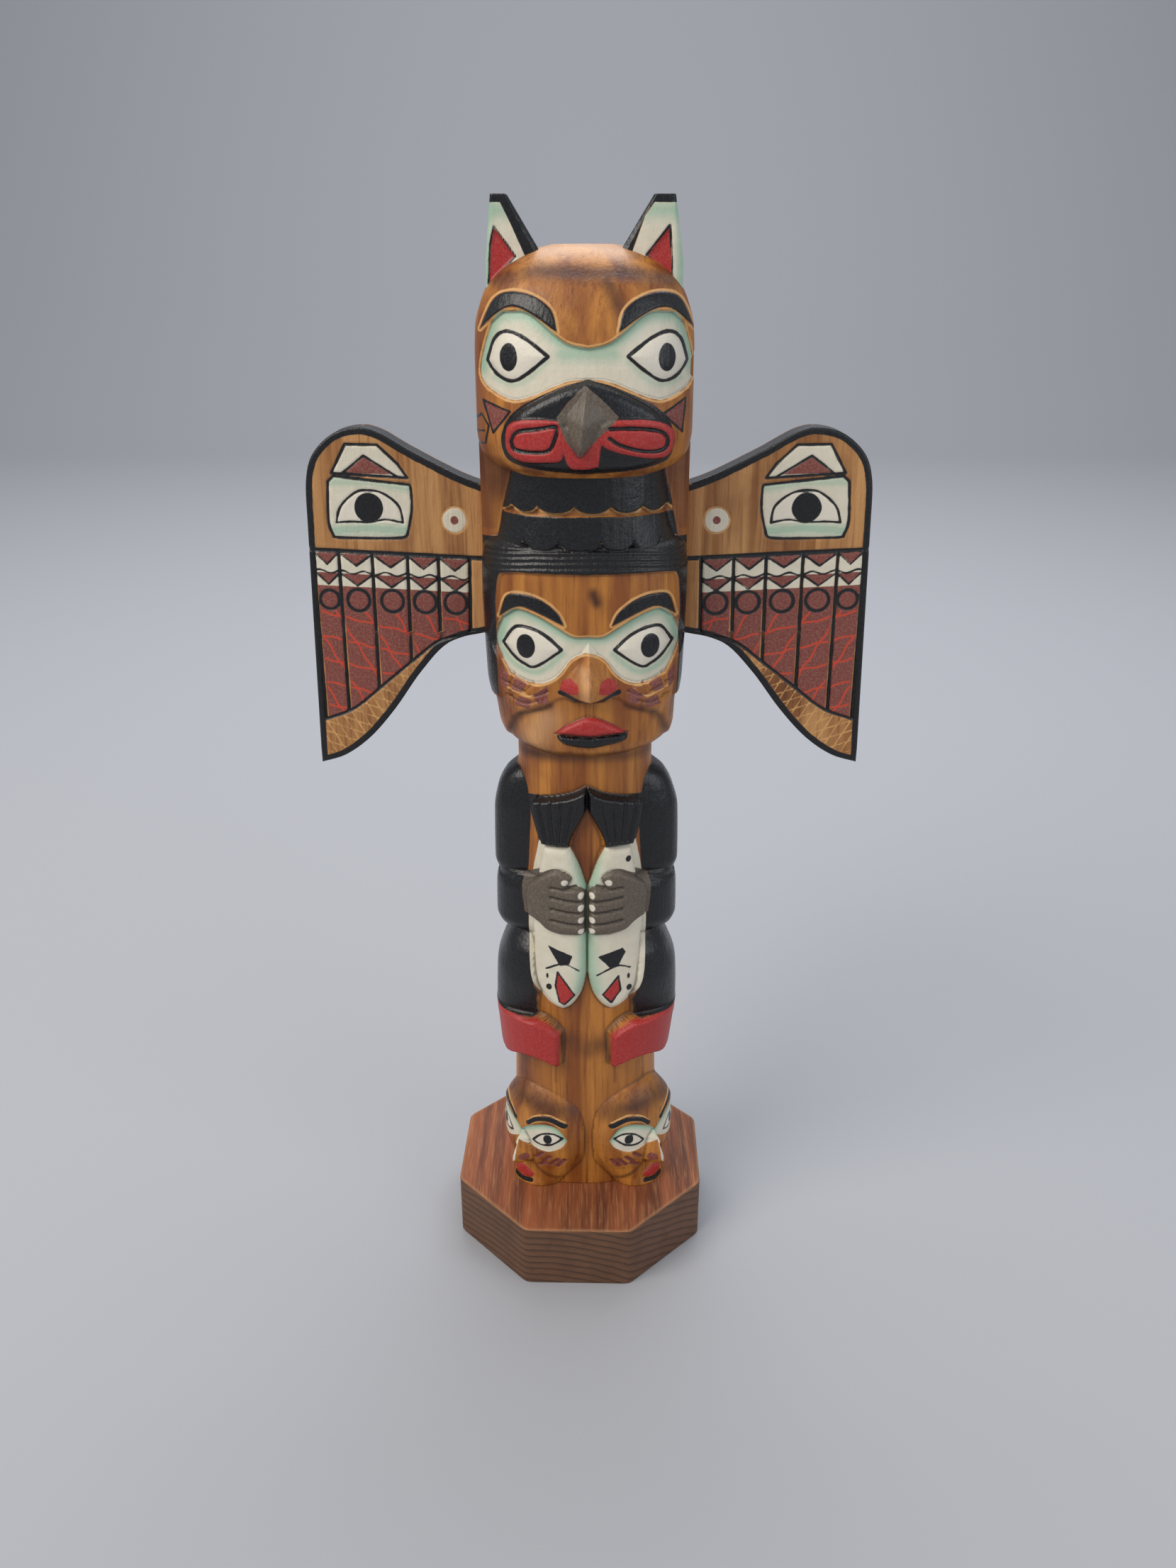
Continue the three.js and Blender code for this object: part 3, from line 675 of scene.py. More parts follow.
NECK = Loft([[248, 31.4, 8, 5], [288, 31.6, 9, 5]], back=18.0)
CHEST = Loft(
    [[246, 28.8, 21, 2.3], [258, 27, 20.4, 2.3], [270, 25, 20, 2.3], [286, 23.2, 20, 2.3]], back=13.0, squareness=3.0,
)
MAN = Loft(
    [
        [192.4, 20.5, 20.6, 2.3, 19.6], [194.4, 25.6, 22.2, 2.3, 23.8], [197, 28, 22.9, 2.4, 26.2],
        [200.5, 28.8, 23.2, 2.4, 27.6], [206, 29, 23.4, 2.5, 28.4],
        [216, 30.2, 23.4, 2.5], [248, 31, 22.4, 2.5], [257, 30.3, 20.8, 2.4], [259.5, 28.5, 18, 2.3],
    ]
)
MAN_EYE = outline(
    [[8.1, 227.8], [12.8, 232], [17.6, 234], [22.2, 233.8], [25.9, 228.5]],
    [[25.9, 228.5], [22.8, 225], [19.5, 223], [16, 222.4], [8.1, 227.8]],
)
MAN_MASK = outline(
    [[0, 231.9], [4.5, 232], [9, 234.6], [15, 238], [21.3, 239.7], [25.5, 237], [28.2, 228.5], [23.8, 219.5]],
    [[23.8, 219.5], [18.5, 217.3], [13.5, 217.4], [9, 220], [5, 225], [0, 227.6]],
)
MAN_BROW = outline(
    [[7.2, 235.5], [9, 239.2], [13.5, 242.8], [19, 244.5], [24.5, 243.4], [27, 236.8]],
    [[27, 236.8], [21.3, 240.6], [16, 239.6], [7.2, 235.5]],
)
FACE_OPENING = outline(
    [
        [0, 250.8], [14, 251], [24, 250.6], [27.5, 247.5], [28.2, 230], [28, 214],
    ], [[28, 214], [28, 188]], [[28, 188], [0, 188]],
)
MOUTH_GROUND = outline(
    [
        [0, 212], [8.5, 212.7], [13.1, 209.2], [19.2, 208], [22.8, 204.5], [24.8, 199],
    ], [[24.8, 199], [24.8, 188]], [[24.8, 188], [0, 188]],
)
UPPER_LIP = outline(
    [[-9.4, 201], [-5.5, 204], [1.5, 206.6], [7.7, 204.6], [13.6, 201.2]], [[13.6, 201.2], [1.6, 200]],
    [[1.6, 200], [-9.4, 201]],
)
LOWER_LIP = outline(
    [[-9, 200.5], [1.6, 200]], [[1.6, 200], [13.5, 201]],
    [[13.5, 201], [12.6, 198.4], [7.7, 197.2], [1.6, 196.2], [-6.6, 197.5], [-9, 200.5]],
)
# the upper and the lower row of feathers: heights of their top, of the cusps between them and of their tips
FEATHER_ROWS = ((1, (288.0, 271, 268.4)), (2, (267.6, 261, 257.4)))
CUSPS = {
    1: np.array([-38, -30, -21.6, -14, -3, 7.7, 17.4, 24.7, 30, 38.0]),
    2: np.array([-36, -27.3, -18.2, -7.9, 4.9, 14.7, 22.8, 27.4, 36.0]),
}


def scallop_edge(x, cusps, cusp, tip):
    """The lower edge of a row of feathers: half an oval hangs between each two cusps."""
    k = np.clip(np.searchsorted(cusps, x) - 1, 0, len(cusps) - 2)
    middle, half = (cusps[k] + cusps[k + 1]) / 2, (cusps[k + 1] - cusps[k]) / 2
    return cusp - (cusp - tip) * np.sqrt(np.clip(1 - ((x - middle) / half) ** 2, 0, 1))


def man_and_chest():
    """The man's head and the feathered chest between it and the eagle's jaw."""
    rows = np.concatenate([heights(MAN.stations, 0.38, 192.4, 262), np.arange(262.3, 287, 0.38)])
    work = Carving(rows, turns(290, 64, 31, 23, 19))
    sizes = bpy.context.scene.totem.sizes
    work.add(NECK)
    work.add(CHEST)
    side_edge = np.interp(work.z, [259.7, 270, 278.6], [27.3, 25.2, 23.0])
    rise = sizes.feather * 1000
    z = work.z
    for row, (top, cusp, tip) in FEATHER_ROWS:
        swollen = work.reach(CHEST, rise)
        x = swollen * work.cos
        low = scallop_edge(x, CUSPS[row], cusp, tip)
        share = step(z - low, 0.5) * step(top - z, 0.4) * np.clip(
            1 - (z - low) / (top - tip) * 0.55, 0.3, 1,
        ) * (work.sin < 0)
        share = share * step(side_edge + 0.5 - np.abs(x - FACE), 0.8)
        work.r = np.maximum(work.r, work.r + (swollen - work.r) * share)
    front = work.sin < 0
    x, _ = work.flat()
    for row, (top, cusp, tip) in FEATHER_ROWS:
        low = scallop_edge(x, CUSPS[row], cusp, tip)
        feather = np.minimum(np.minimum(z - low, top - 0.3 - z), side_edge - np.abs(x - FACE))
        work.paint["black"] = np.maximum(work.paint["black"], np.where(front, feather, FAR))
        work.paint["scraped"] = np.maximum(
            work.paint["scraped"],
            np.where(front & (np.abs(x - FACE) < side_edge), 0.45 - np.abs(z - low + 0.35), FAR),
        )
    strip = np.where(front, np.minimum(np.abs(x - FACE) - side_edge, z - 261), FAR)
    work.paint["scorch_and_shade"] = np.maximum(work.paint["scorch_and_shade"], 0.45 * step(strip - 0.6, 1.0))

    before = {name: value.copy() for name, value in work.paint.items()}
    head = work.add(MAN)
    opening = across(FACE_OPENING, FACE)
    swollen = work.reach(MAN, 1.0)
    hair = np.where((work.sin < 0.0) & (z > 209), -inside(swollen * work.cos, z, opening), FAR)
    work.r = np.maximum(work.r, work.r + (swollen - work.r) * step(np.minimum(hair, z - 210), 0.8) * (swollen > 0))
    mask = across(MAN_MASK, FACE)
    sink = sizes.mask * 1000
    work.sunk(MAN, across(MOUTH_GROUND, FACE), -0.9, 1.2)
    work.sunk(MAN, mask, -sink, 0.8)
    for side in (-1, 1):
        work.raised(MAN, on_side(MAN_BROW, side, FACE), 0.5, 0.8)
        work.raised(MAN, on_side(MAN_EYE, side, FACE), 0.1, rounded=5.0)
        cheek = on_side(outline([[13, 216], [20, 217.5], [27, 219], [27, 211], [22, 206.5], [14, 209.5]]), side, FACE)
        work.raised(MAN, cheek, 0.5, rounded=4.0)
        for cutting in (
            [[12.5, 214.8], [17, 213], [21, 214.6], [26.6, 216.6]], [[15.5, 211.6], [20, 210.4], [25.6, 212.2]],
            [[17, 217.0], [19.6, 214.4]], [[23, 219], [24.6, 215.6], [23.6, 211]],
        ):
            work.cut(on_side(open_line(cutting), side, FACE), 0.8, 0.6)
    work.raised(MAN, UPPER_LIP, 1.0, rounded=2.2)
    work.raised(MAN, LOWER_LIP, 0.8, rounded=1.6)
    work.cut([[-9.2, 200.7], [1.6, 200], [13.6, 201.1]], 0.6, 0.5)
    work.roof(
        MAN,
        [
            [212.0, 1.8, 26.4, 5.4, 5.0, 24], [213.4, 1.8, 29, 7, 6.6, 23.6], [216.6, 1.4, 30, 9.2, 8.2, 22.8],
            [220.6, 1.35, 28.2, 8, 7, 21.8], [224, 1.3, 26.4, 5.4, 5.4, 21.2], [230, 1.2, 22.4, 3, 3, 20.4],
        ],
    )
    for level in (252.6, 254.3, 255.9, 257.4):
        work.cut([[-30, level - 1.4], [-15, level], [1, level + 0.3], [16, level], [32, level - 1.4]], 0.6, 0.45)

    over = (z <= MAN.stations[-1, 0]) & (head > -0.4)
    for name in PAINTS:
        work.paint[name] = np.where(over, FAR, before[name])
    crown = np.where(work.sin < 0, np.maximum(-inside(work.r * work.cos, z, opening), FAR), FAR)
    crown = np.minimum(crown, np.minimum(z - 211, 259.8 - z))
    work.paint["black"] = np.maximum(work.paint["black"], np.where(over | (crown > 0) & (z < 259.6), crown, FAR))
    work.fill("cream", mask)
    for side in (-1, 1):
        work.fill("black", on_side(MAN_BROW, side, FACE))
        top = open_line([[0, 231.4], [4.5, 231.6], [9, 234], [15, 237.2], [21.3, 238.8], [25, 236], [27.4, 228.5]])
        work.shade("mint", on_side(top, side, FACE), 1.9, 0.95)
        under = open_line([[7.6, 226.6], [13, 221.8], [17.4, 220.4], [23, 222.6], [26, 226]])
        work.shade("mint", on_side(under, side, FACE), 1.1, 0.75)
    eyes(work, MAN_EYE, (18.9, 228.6), (2.9, 3.8))
    work.fill("red", UPPER_LIP)
    work.fill("black", LOWER_LIP)
    for side in (-1, 1):
        for patch in (
            [[12.5, 216.6], [17, 213.6], [15.6, 210.6], [12.4, 211]], [
                [18.6, 216.8], [22.6, 218.4], [23.6, 214.4], [20.6, 213.6],
            ],
            [[24.6, 218.8], [27.4, 221], [27.4, 215], [25.2, 214]], [
                [17.4, 211.8], [21.4, 212.6], [22.8, 209.4], [18.2, 208.6],
            ],
        ):
            work.fill("dusty", on_side(patch, side, FACE))
        # painted shade under the overhang of each cheek fold, and along the face's outer edge where it meets the
        # raised hair
        work.shade("scorch_and_shade", on_side([[12, 210.2], [19.2, 207.4], [22.8, 204], [24.6, 199]], side, FACE), 1.6, 0.8)
        work.shade("scorch_and_shade", on_side([[26.8, 222], [28, 214], [27, 204]], side, FACE), 1.6, 0.5)
        work.line(
            "scraped", on_side(open_line([[14, 215.4], [18, 212.8], [22, 213.8], [26.8, 215]]), side, FACE), 0.3,
        )
        work.fill(
            "red",
            on_side([[3.0, 215.4], [3.4, 218.2], [5.6, 219.6], [8.2, 218.4], [9.0, 215.6], [6, 214.4]], side, 1.2),
        )
        work.line("black", on_side(open_line([[0.4, 211.9], [4, 212.8], [7, 214.0], [9, 214.8]]), side, 1.4), 0.75)
    work.line("scraped", mask, 0.3, closed=True, shift=-0.5)
    for side in (-1, 1):
        work.line("scraped", on_side(MAN_BROW, side, FACE), 0.3, closed=True, shift=-0.5)
    # painted shade along the underside of the chin
    work.shade("scorch_and_shade", [[-20, 193.5], [0, 192.6], [20, 193.5]], 1.6, 0.8)
    work.shade("scorch_and_shade", [[2.5, 245], [3.5, 242.5]], 1.8, 0.8)
    # painted highlights: a lit patch left of the mouth and a streak down the ridge of the nose
    work.shade("light", [[-12, 205], [-16, 199]], 5.0, 0.6)
    work.shade("light", [[0, 222], [0.4, 214]], 1.6, 0.6)
    return carved(work)


# ---------------------------------------------------------------- the body, the fish and the little heads

TRUNK = Loft(
    [[24, 26.5, 20.3, 2.2], [66, 25.5, 20, 2.2], [120, 24.3, 18.5, 2.2], [185, 22, 17, 2.2], [203, 22, 17, 2.2]],
    back=18.0,
)
UPPER_ARMS = Loft(
    [
        [146, 30.4, 11.5, 3, 29.6], [150, 31.6, 12, 3, 30.7], [168, 31.2, 12, 3, 30.4],
        [175.5, 29.3, 11.4, 3, 29], [180.6, 26.6, 10.6, 3, 26.4], [184, 22.3, 9.4, 3],
    ],
    back=13.0, squareness=3.0,
)
FOREARMS = Loft(
    [
        [124, 25.2, 12, 2.6, 24.8], [126.5, 30.3, 15.4, 2.6, 29.4], [130, 31.5, 16.6, 2.6, 30.6],
        [141, 31.3, 16.6, 2.6, 30.4], [147, 29.8, 14.6, 2.8, 28.8],
    ],
    back=13.0, squareness=3.0,
)
LEGS = Loft(
    [
        [86, 31, 17, 3, 30.4], [91, 32.2, 17.6, 3, 31.5], [98, 32.3, 18, 3, 31.4],
        [110, 31.9, 20.2, 3, 30.9], [118.4, 29.2, 19.6, 3, 28.5], [126, 24.9, 15, 3, 24.5],
    ],
    back=13.0, squareness=3.0,
)
FEET = Loft([[74, 30, 23.4, 2.6], [95.5, 32.5, 24.6, 2.6, 31.7]], back=13.0, squareness=3.0)
FISH_BODY = outline(
    [[15.7, 161], [17.5, 151.5], [19.4, 138], [19.6, 124], [18.6, 109.5], [13.5, 101.3], [8.9, 99.2]],
    [
        [8.9, 99.2], [5.5, 101.3], [2, 106.6], [0.2, 114],
    ], [[0.2, 114], [0.2, 145.5]], [[0.2, 145.5], [3.3, 154.6], [6.2, 161]],
    [[6.2, 161], [15.7, 161]],
)
FISH_TAIL = outline(
    [[0.2, 181.2], [5, 178.9], [11, 177.4], [19.2, 175.8]], [[19.2, 175.8], [18.3, 169], [15.9, 160.4]],
    [[15.9, 160.4], [6, 160.4]], [[6, 160.4], [5, 164.5], [0.2, 173.6]], [[0.2, 173.6], [0.2, 181.2]],
)
HAND = outline(
    [
        [5, 150.5], [8, 152.3], [11.4, 152.4], [16.4, 149.6], [20.4, 147.2],
    ], [[20.4, 147.2], [21.4, 143], [20.6, 134.4]],
    [
        [20.6, 134.4], [16.5, 133.3], [13, 130.7], [8.8, 129.7],
    ], [[8.8, 129.7], [0.7, 129.7]], [[0.7, 129.7], [0.7, 145.3]],
    [[0.7, 145.3], [3.2, 146.9], [6.8, 146.7]], [[6.8, 146.7], [5, 150.5]],
)
LEG = outline(
    [[17, 95], [17.5, 101.2], [18.4, 114], [18.8, 127]], [[18.8, 127], [40, 127]], [[40, 127], [40, 88.5]],
    [[40, 88.5], [20, 88.5]], [[20, 88.5], [17, 95]],
)
FOOT = outline(
    [[9.8, 76.8], [13, 78], [18, 79.6], [23.5, 79.4], [28, 77.4], [31, 79], [34, 82]], [[34, 82], [34, 95.4]],
    [[34, 95.4], [18, 94.6]], [[18, 94.6], [13.5, 92.6], [9.8, 89.6]], [[9.8, 89.6], [9.8, 76.8]],
)
FISH_MIDDLE, HAND_MIDDLE, FOOT_MIDDLE = 0.8, 0.5, 0.1
LITTLE_MASK = outline(
    [
        [0, 47.2], [2.6, 49.6], [8.7, 51.9], [13.2, 50.9], [16.2, 46],
    ], [[16.2, 46], [14.6, 42.8], [9.9, 40.6], [4.9, 42.1], [0, 45]],
)
LITTLE_LIPS = outline([[0, 31], [4.6, 28.6]], [[4.6, 28.6], [3.4, 26.8], [0, 26.2]], [[0, 26.2], [0, 31]])
LITTLE_EYE = outline(
    [[4.8, 44.4], [8, 47.6], [12, 48.4], [14.9, 46.7]], [[14.9, 46.7], [11.4, 43.7], [7.6, 43.2], [4.8, 44.4]],
)
LEAVES = (
    (6.0, 37.4, 8.6, 39.6), (8.4, 35.6, 11.2, 38.4), (10.8, 34.6, 13.6, 37.6), (13, 34.2, 15.4, 37.2),
    (6.6, 33.6, 9.2, 35.0),
)
LITTLE_BROW = open_line([[2.9, 51.2], [6.2, 53.8], [10.9, 54.5], [15.4, 52]])


def ahead_of(work, body, shape):
    """How far each point of the grid lies inside the shape, on the body, at the front and the back alike."""
    r = work.reach(body)
    return inside(r * work.cos, work.z, shape), r


def body_and_foot():
    """The trunk with its arms, legs, fish and hands, and the two little heads at the foot."""
    work = Carving(np.linspace(24, 198, 366), turns(214, 50, 28, 19, 16))
    work.add(TRUNK)
    arms = work.add(UPPER_ARMS)
    fore = work.add(FOREARMS)
    black = np.maximum(np.where(work.reach(UPPER_ARMS) > 0, arms, FAR), np.where(work.reach(FOREARMS) > 0, fore, FAR))
    legs = np.full(work.r.shape, FAR)
    feet = np.full(work.r.shape, FAR)
    for side in (-1, 1):
        depth, r = ahead_of(work, LEGS, on_side(LEG, side, FOOT_MIDDLE))
        proud = np.where(r > 0, r - work.r, FAR)
        legs = np.maximum(legs, np.minimum(depth, proud * 1.5))
        work.r = np.maximum(work.r, work.r + (r - work.r) * step(depth, 0.8))
    for side in (-1, 1):
        depth, r = ahead_of(work, FEET, on_side(FOOT, side, FOOT_MIDDLE))
        proud = np.where(r > 0, r - work.r, FAR)
        feet = np.maximum(feet, np.minimum(depth, proud * 1.5))
        work.r = np.maximum(work.r, work.r + (r - work.r) * step(depth, 0.8))
    for side in (-1, 1):
        work.raised(TRUNK, on_side(FISH_BODY, side, FISH_MIDDLE), 3.6, rounded=3.4)
        work.raised(TRUNK, on_side(FISH_TAIL, side, FISH_MIDDLE), 4.2, rounded=1.4)
        work.raised(TRUNK, on_side(HAND, side, HAND_MIDDLE), 5.4, rounded=2.2)
    for side in (-1, 1):
        for level in (142.2, 138.0, 133.8):
            work.cut(on_side([[1.4, level - 0.3], [6, level], [12, level + 0.9]], side, HAND_MIDDLE), 0.8, 1.3)
        work.cut(on_side([[3.6, 147.1], [7.4, 146.2], [12, 146.6]], side, HAND_MIDDLE), 0.8, 1.0)
        for k, foot_x in enumerate((7.4, 9.5, 11.6, 13.8)):
            work.cut(
                on_side([[foot_x - 0.2 * (k - 1.5), 162.5], [foot_x + 1.6 * (k - 1.5), 176]], side, FISH_MIDDLE), 0.7,
                0.8,
            )
        work.cut(on_side([[6, 161], [15.8, 160.6]], side, FISH_MIDDLE), 0.7, 0.9)
        work.cut(on_side([[24, 146.4], [29, 144.6], [33, 144.2]], side, 0), 1.0, 0.8)
    eggs = {side: Egg(side) for side in (-1, 1)}
    little = {}
    trunk_only = work.r.copy()
    for side in (-1, 1):
        egg = eggs[side]
        r = work.reach(egg)
        little[side] = np.where(r > 0, r - trunk_only, FAR)
        work.r = np.maximum(work.r, r)
    for side in (-1, 1):
        egg = eggs[side]
        on_egg = little[side] > 0
        keep = work.r.copy()
        work.sunk(egg, across(LITTLE_MASK, 0.0), -0.5, 0.7)
        work.raised(egg, across(LITTLE_LIPS, 0.0), 0.6, rounded=1.4)
        for brow in (-1, 1):
            arch = np.vstack([LITTLE_BROW + [0, 0.8], LITTLE_BROW[::-1] - [0, 0.8]])
            work.raised(egg, on_side(arch, brow, 0), 0.35, 0.6)
            for low_x, low_z, top_x, top_z in LEAVES:
                work.cut(on_side([[low_x, low_z], [top_x, top_z]], brow, 0), 0.9, 0.5, egg)
        work.roof(
            egg,
            [
                [33.8, 0, 17.0, 1.2, 1.2, 15.4], [34.8, 0, 19.2, 3.2, 3.2, 15.4], [36.6, 0, 20, 4.2, 4.2, 15.2],
                [44.6, 0, 17.4, 2.4, 2.4, 15.4], [47, 0, 15.4, 1, 1, 14.6],
            ],
        )
        work.r = np.where(on_egg, work.r, keep)

    work.paint["black"] = np.minimum(np.maximum(work.paint["black"], np.maximum(black * 1.5, legs)), -feet)
    work.paint["red"] = feet
    for side in (-1, 1):
        fish = on_side(FISH_BODY, side, FISH_MIDDLE)
        work.fill("cream", fish, spread=0.2)
        work.bare("black", fish, spread=0.2)
        work.fill("black", on_side(FISH_TAIL, side, FISH_MIDDLE), spread=0.1)
        work.shade(
            "mint", on_side([[2.6, 158], [1.2, 146], [0.6, 130], [0.8, 118], [2.6, 108]], side, FISH_MIDDLE), 2.8,
            0.85,
        )
        work.fill("taupe", on_side(HAND, side, HAND_MIDDLE), spread=0.3)
        work.bare("black", on_side(HAND, side, HAND_MIDDLE), spread=0.3)
        for level in (144.4, 140.0, 135.5, 131.3):
            work.fill("pale", on_side(oval(1.8, level, 1.05, 1.15), side, HAND_MIDDLE))
        work.fill("pale", on_side(oval(7.2, 149.0, 1.2, 1.1), side, HAND_MIDDLE))
    for marks in (
        ([[-12.6, 122.3], [-4.2, 119], [-5.4, 115.4], [-8.6, 115]], [[-13.2, 113.3], [-7.3, 115.8], [-2, 113.4]], [-12.8, 110.7], [-12.3, 106.4],
         [[-9.3, 112.5], [-10.1, 107], [-8.7, 100.9], [-7, 100], [-3.5, 103.9]]),
        ([[4.3, 118.8], [12.7, 121.4], [13.7, 119.5], [11.3, 114.7], [8.4, 114.2]], [[4, 111.6], [10.8, 114.7], [15.3, 113.3]], [14.8, 110.2], [15.1, 105.6],
         [[11.4, 110.7], [12.1, 105.2], [9, 100.7], [6, 104]]),
    ):
        fin, gill, dash, eye, mouth = (np.array(mark, float) + [0, 2.2] for mark in marks)
        work.fill("black", np.array(fin, float))
        work.line("black", open_line(gill), 0.35)
        work.fill("black", oval(dash[0], dash[1], 0.45, 1.1))
        work.fill("black", oval(eye[0], eye[1], 1.0, 1.2))
        work.fill("red", np.array(mouth, float))
        work.bare("cream", np.array(mouth, float), spread=-0.1)
        work.line("black", np.array(mouth, float), 0.35, closed=True)
    work.fill("black", oval(14.3, 156, 0.9, 1.1))
    for side in (-1, 1):
        paint_little_head(work, eggs[side], little[side])
    # painted shade in the creases beside the inner edge of each foot, and a broad painted shade between the feet
    work.shade("scorch_and_shade", [[-11, 92], [-10.5, 80], [-10.5, 68]], 0.7, 0.5)
    work.shade("scorch_and_shade", [[11, 92], [10.5, 80], [10.5, 68]], 0.7, 0.5)
    work.shade("scorch_and_shade", [[-6, 86], [0, 83], [7, 85]], 5.0, 0.45)
    # painted shadow under the man's chin
    work.shade("scorch_and_shade", [[-20, 190.6], [0, 191.4], [20, 190.6]], 2.4, 0.7)
    return carved(work)


def paint_little_head(work, egg, proud):
    """Crown, mask, eyes, brows and lips of a little head, all in its own turned frame."""
    own = {name: np.full(work.z.shape, FAR) for name in PAINTS}
    kept, work.paint = work.paint, dict(own, **{name: np.zeros(work.z.shape) for name in SHADES})
    mask = across(LITTLE_MASK, 0.0)
    work.fill("cream", mask, egg)
    for side in (-1, 1):
        top = open_line([[0, 47], [2.6, 49.2], [8.7, 51.4], [13.2, 50.4], [15.8, 46]])
        work.shade("mint", on_side(top, side, 0), 1.5, 1.0, egg)
    for side in (-1, 1):
        eye = on_side(LITTLE_EYE, side, 0)
        work.fill("pale", eye, egg)
        work.line("black", eye, 0.4, egg, closed=True)
        work.fill("black", oval(side * 10.2, 45.9, 1.5, 1.9), egg)
        brow = on_side(LITTLE_BROW, side, 0)
        work.line("black", brow, 0.85, egg)
        work.line("scraped", brow + [0, 1.3], 0.3, egg)
        work.line("scraped", brow - [0, 1.2], 0.25, egg)
        for low_x, low_z, top_x, top_z in LEAVES:
            work.line("dusty", on_side([[low_x, low_z], [top_x, top_z]], side, 0), 0.75, egg)
        work.fill("dusty", on_side(oval(2.8, 37.6, 1.4, 1.5), side, 0), egg)
        work.shade("scorch_and_shade", on_side(open_line([[3.3, 36.3], [6.4, 31.4], [12.4, 27.5]]), side, 0), 0.9, 0.7, egg)
    work.line("pale", [[0, 45], [0, 36.8]], 0.7, egg)
    work.fill("red", across(LITTLE_LIPS, 0.0), egg)
    work.line("black", [[-3.8, 25.6], [0, 25.2], [3.8, 25.6]], 0.8, egg)
    work.shade("scorch_and_shade", [[-16, 57], [0, 60], [16, 57]], 4.0, 0.7, egg)
    made, work.paint = work.paint, kept
    for name in PAINTS:
        work.paint[name] = np.where(proud > 0, np.maximum(made[name], FAR), work.paint[name])
    for name in SHADES:
        work.paint[name] = np.where(proud > 0, made[name], work.paint[name])


# ---------------------------------------------------------------- the wings

WING_TOP = [
    [2, 273], [0.17, 276.2], [0.4, 283.2], [0.56, 288.6], [0.67, 290], [0.8, 288], [0.91, 282], [0.955, 274],
    [0.965, 262],
]


def wing_edges(reach, shoulder):
    """The wing's inner and outer side at each height, as smooth curves through its outline's points."""
    top = outline([[2, 273]] + [[u * reach, z - 290 + shoulder] for u, z in WING_TOP[1:]])
    top = np.vstack([top, [0.965 * reach, shoulder - 28]])
    low = outline(
        [
            [reach, 181], [0.86 * reach, 183.6], [0.71 * reach, 190], [0.56 * reach, 200], [0.4 * reach, 213],
            [0.24 * reach, 222.6], [2, 226],
        ]
    )
    low = np.vstack([low, [2, 226]])
    peak = int(np.argmax(top[:, 1]))
    return top, low, peak


def wing(side):
    """One plank wing. Each ring goes round the plank at one height: the front face, the outer edge, the
    back and the inner edge. Its front is cut with grooves and painted."""
    low_corner, high_corner = (np.array(c) * 1000 for c in wing_boxes[side])
    reach = high_corner[0] - low_corner[0]
    front_y, thick = low_corner[1], high_corner[1] - low_corner[1]
    shoulder = high_corner[2]
    top, low, peak = wing_edges(reach, shoulder)
    shoulder = top[peak, 1]
    fine = np.linspace(0, 1, 281)
    z = 181.0 + (shoulder - 181.0) * (fine - 0.04 * np.sin(math.tau * fine) / math.tau)
    z = np.unique(np.concatenate([z, shoulder - np.array([0.02, 0.06, 0.12, 0.2])]))
    z[-1] = shoulder - 0.004
    rising, falling = top[: peak + 1], top[peak:][::-1]
    inner = np.where(z >= 273, np.interp(z, rising[:, 1], rising[:, 0]), 0.0)
    lower = low[::-1][:, 1], low[::-1][:, 0]
    order = np.argsort(lower[0])
    inner = np.where(z < 226, np.interp(z, lower[0][order], lower[1][order]), inner)
    outer = np.interp(z, np.concatenate([[181, 186], falling[:, 1]]), np.concatenate([[reach, reach], falling[:, 0]]))
    across_count, edge_count, back_count = 136, 8, 14
    u = inner[:, None] + (outer - inner)[:, None] * np.linspace(0, 1, across_count)[None, :]
    zz = np.broadcast_to(z[:, None], u.shape)
    rim = np.vstack([top, [[reach, 186], [reach, 181]], low, [[0, 226], [0, 273]]])
    depth = inside(u, zz, rim, 6.0)
    root = u < 2.0
    scale = reach / 58.7
    v = u / scale
    cut, paint = wing_front(v, zz, np.where(root, 6.0, depth))
    ease = 0.45 * np.clip(1 - depth / 0.7, 0, 1) ** 2
    face = front_y + cut * bpy.context.scene.totem.sizes.groove * 1000 + np.where(root, 0, ease)
    t = (np.arange(1, edge_count + 1) / (edge_count + 1))[None, :]
    outer_u = np.repeat(outer[:, None], edge_count, 1)
    inner_u = np.repeat(inner[:, None], edge_count, 1)
    b = np.linspace(1, 0, back_count)[None, :]
    back_u = inner[:, None] + (outer - inner)[:, None] * b
    ring_u = np.concatenate([u, outer_u, back_u, inner_u], 1)
    ring_y = np.concatenate(
        [
            face, front_y + 0.45 + (thick - 0.45) * t + 0 * outer_u, front_y + thick + 0 * back_u,
            front_y + thick - (thick - 0.45) * t + 0 * inner_u,
        ], 1
    )
    ring_z = np.repeat(z[:, None], ring_u.shape[1], 1)
    values = {}
    for name, value in paint.items():
        rest = 2.0 if name == "black" else (FAR if name in PAINTS else 0.0)
        rim_black = np.full(outer_u.shape, rest)
        wood = np.full(back_u.shape, FAR if name in PAINTS else 0.0)
        values[name] = np.concatenate([value, rim_black, wood, rim_black], 1)
    values["relief"] = np.zeros(ring_u.shape)
    x = side * (30 + ring_u) + POLE_X
    points = np.stack([x, ring_y, ring_z], -1)
    if side < 0:
        points = points[:, ::-1]
        values = {name: value[:, ::-1] for name, value in values.items()}
    return tube(points, values)


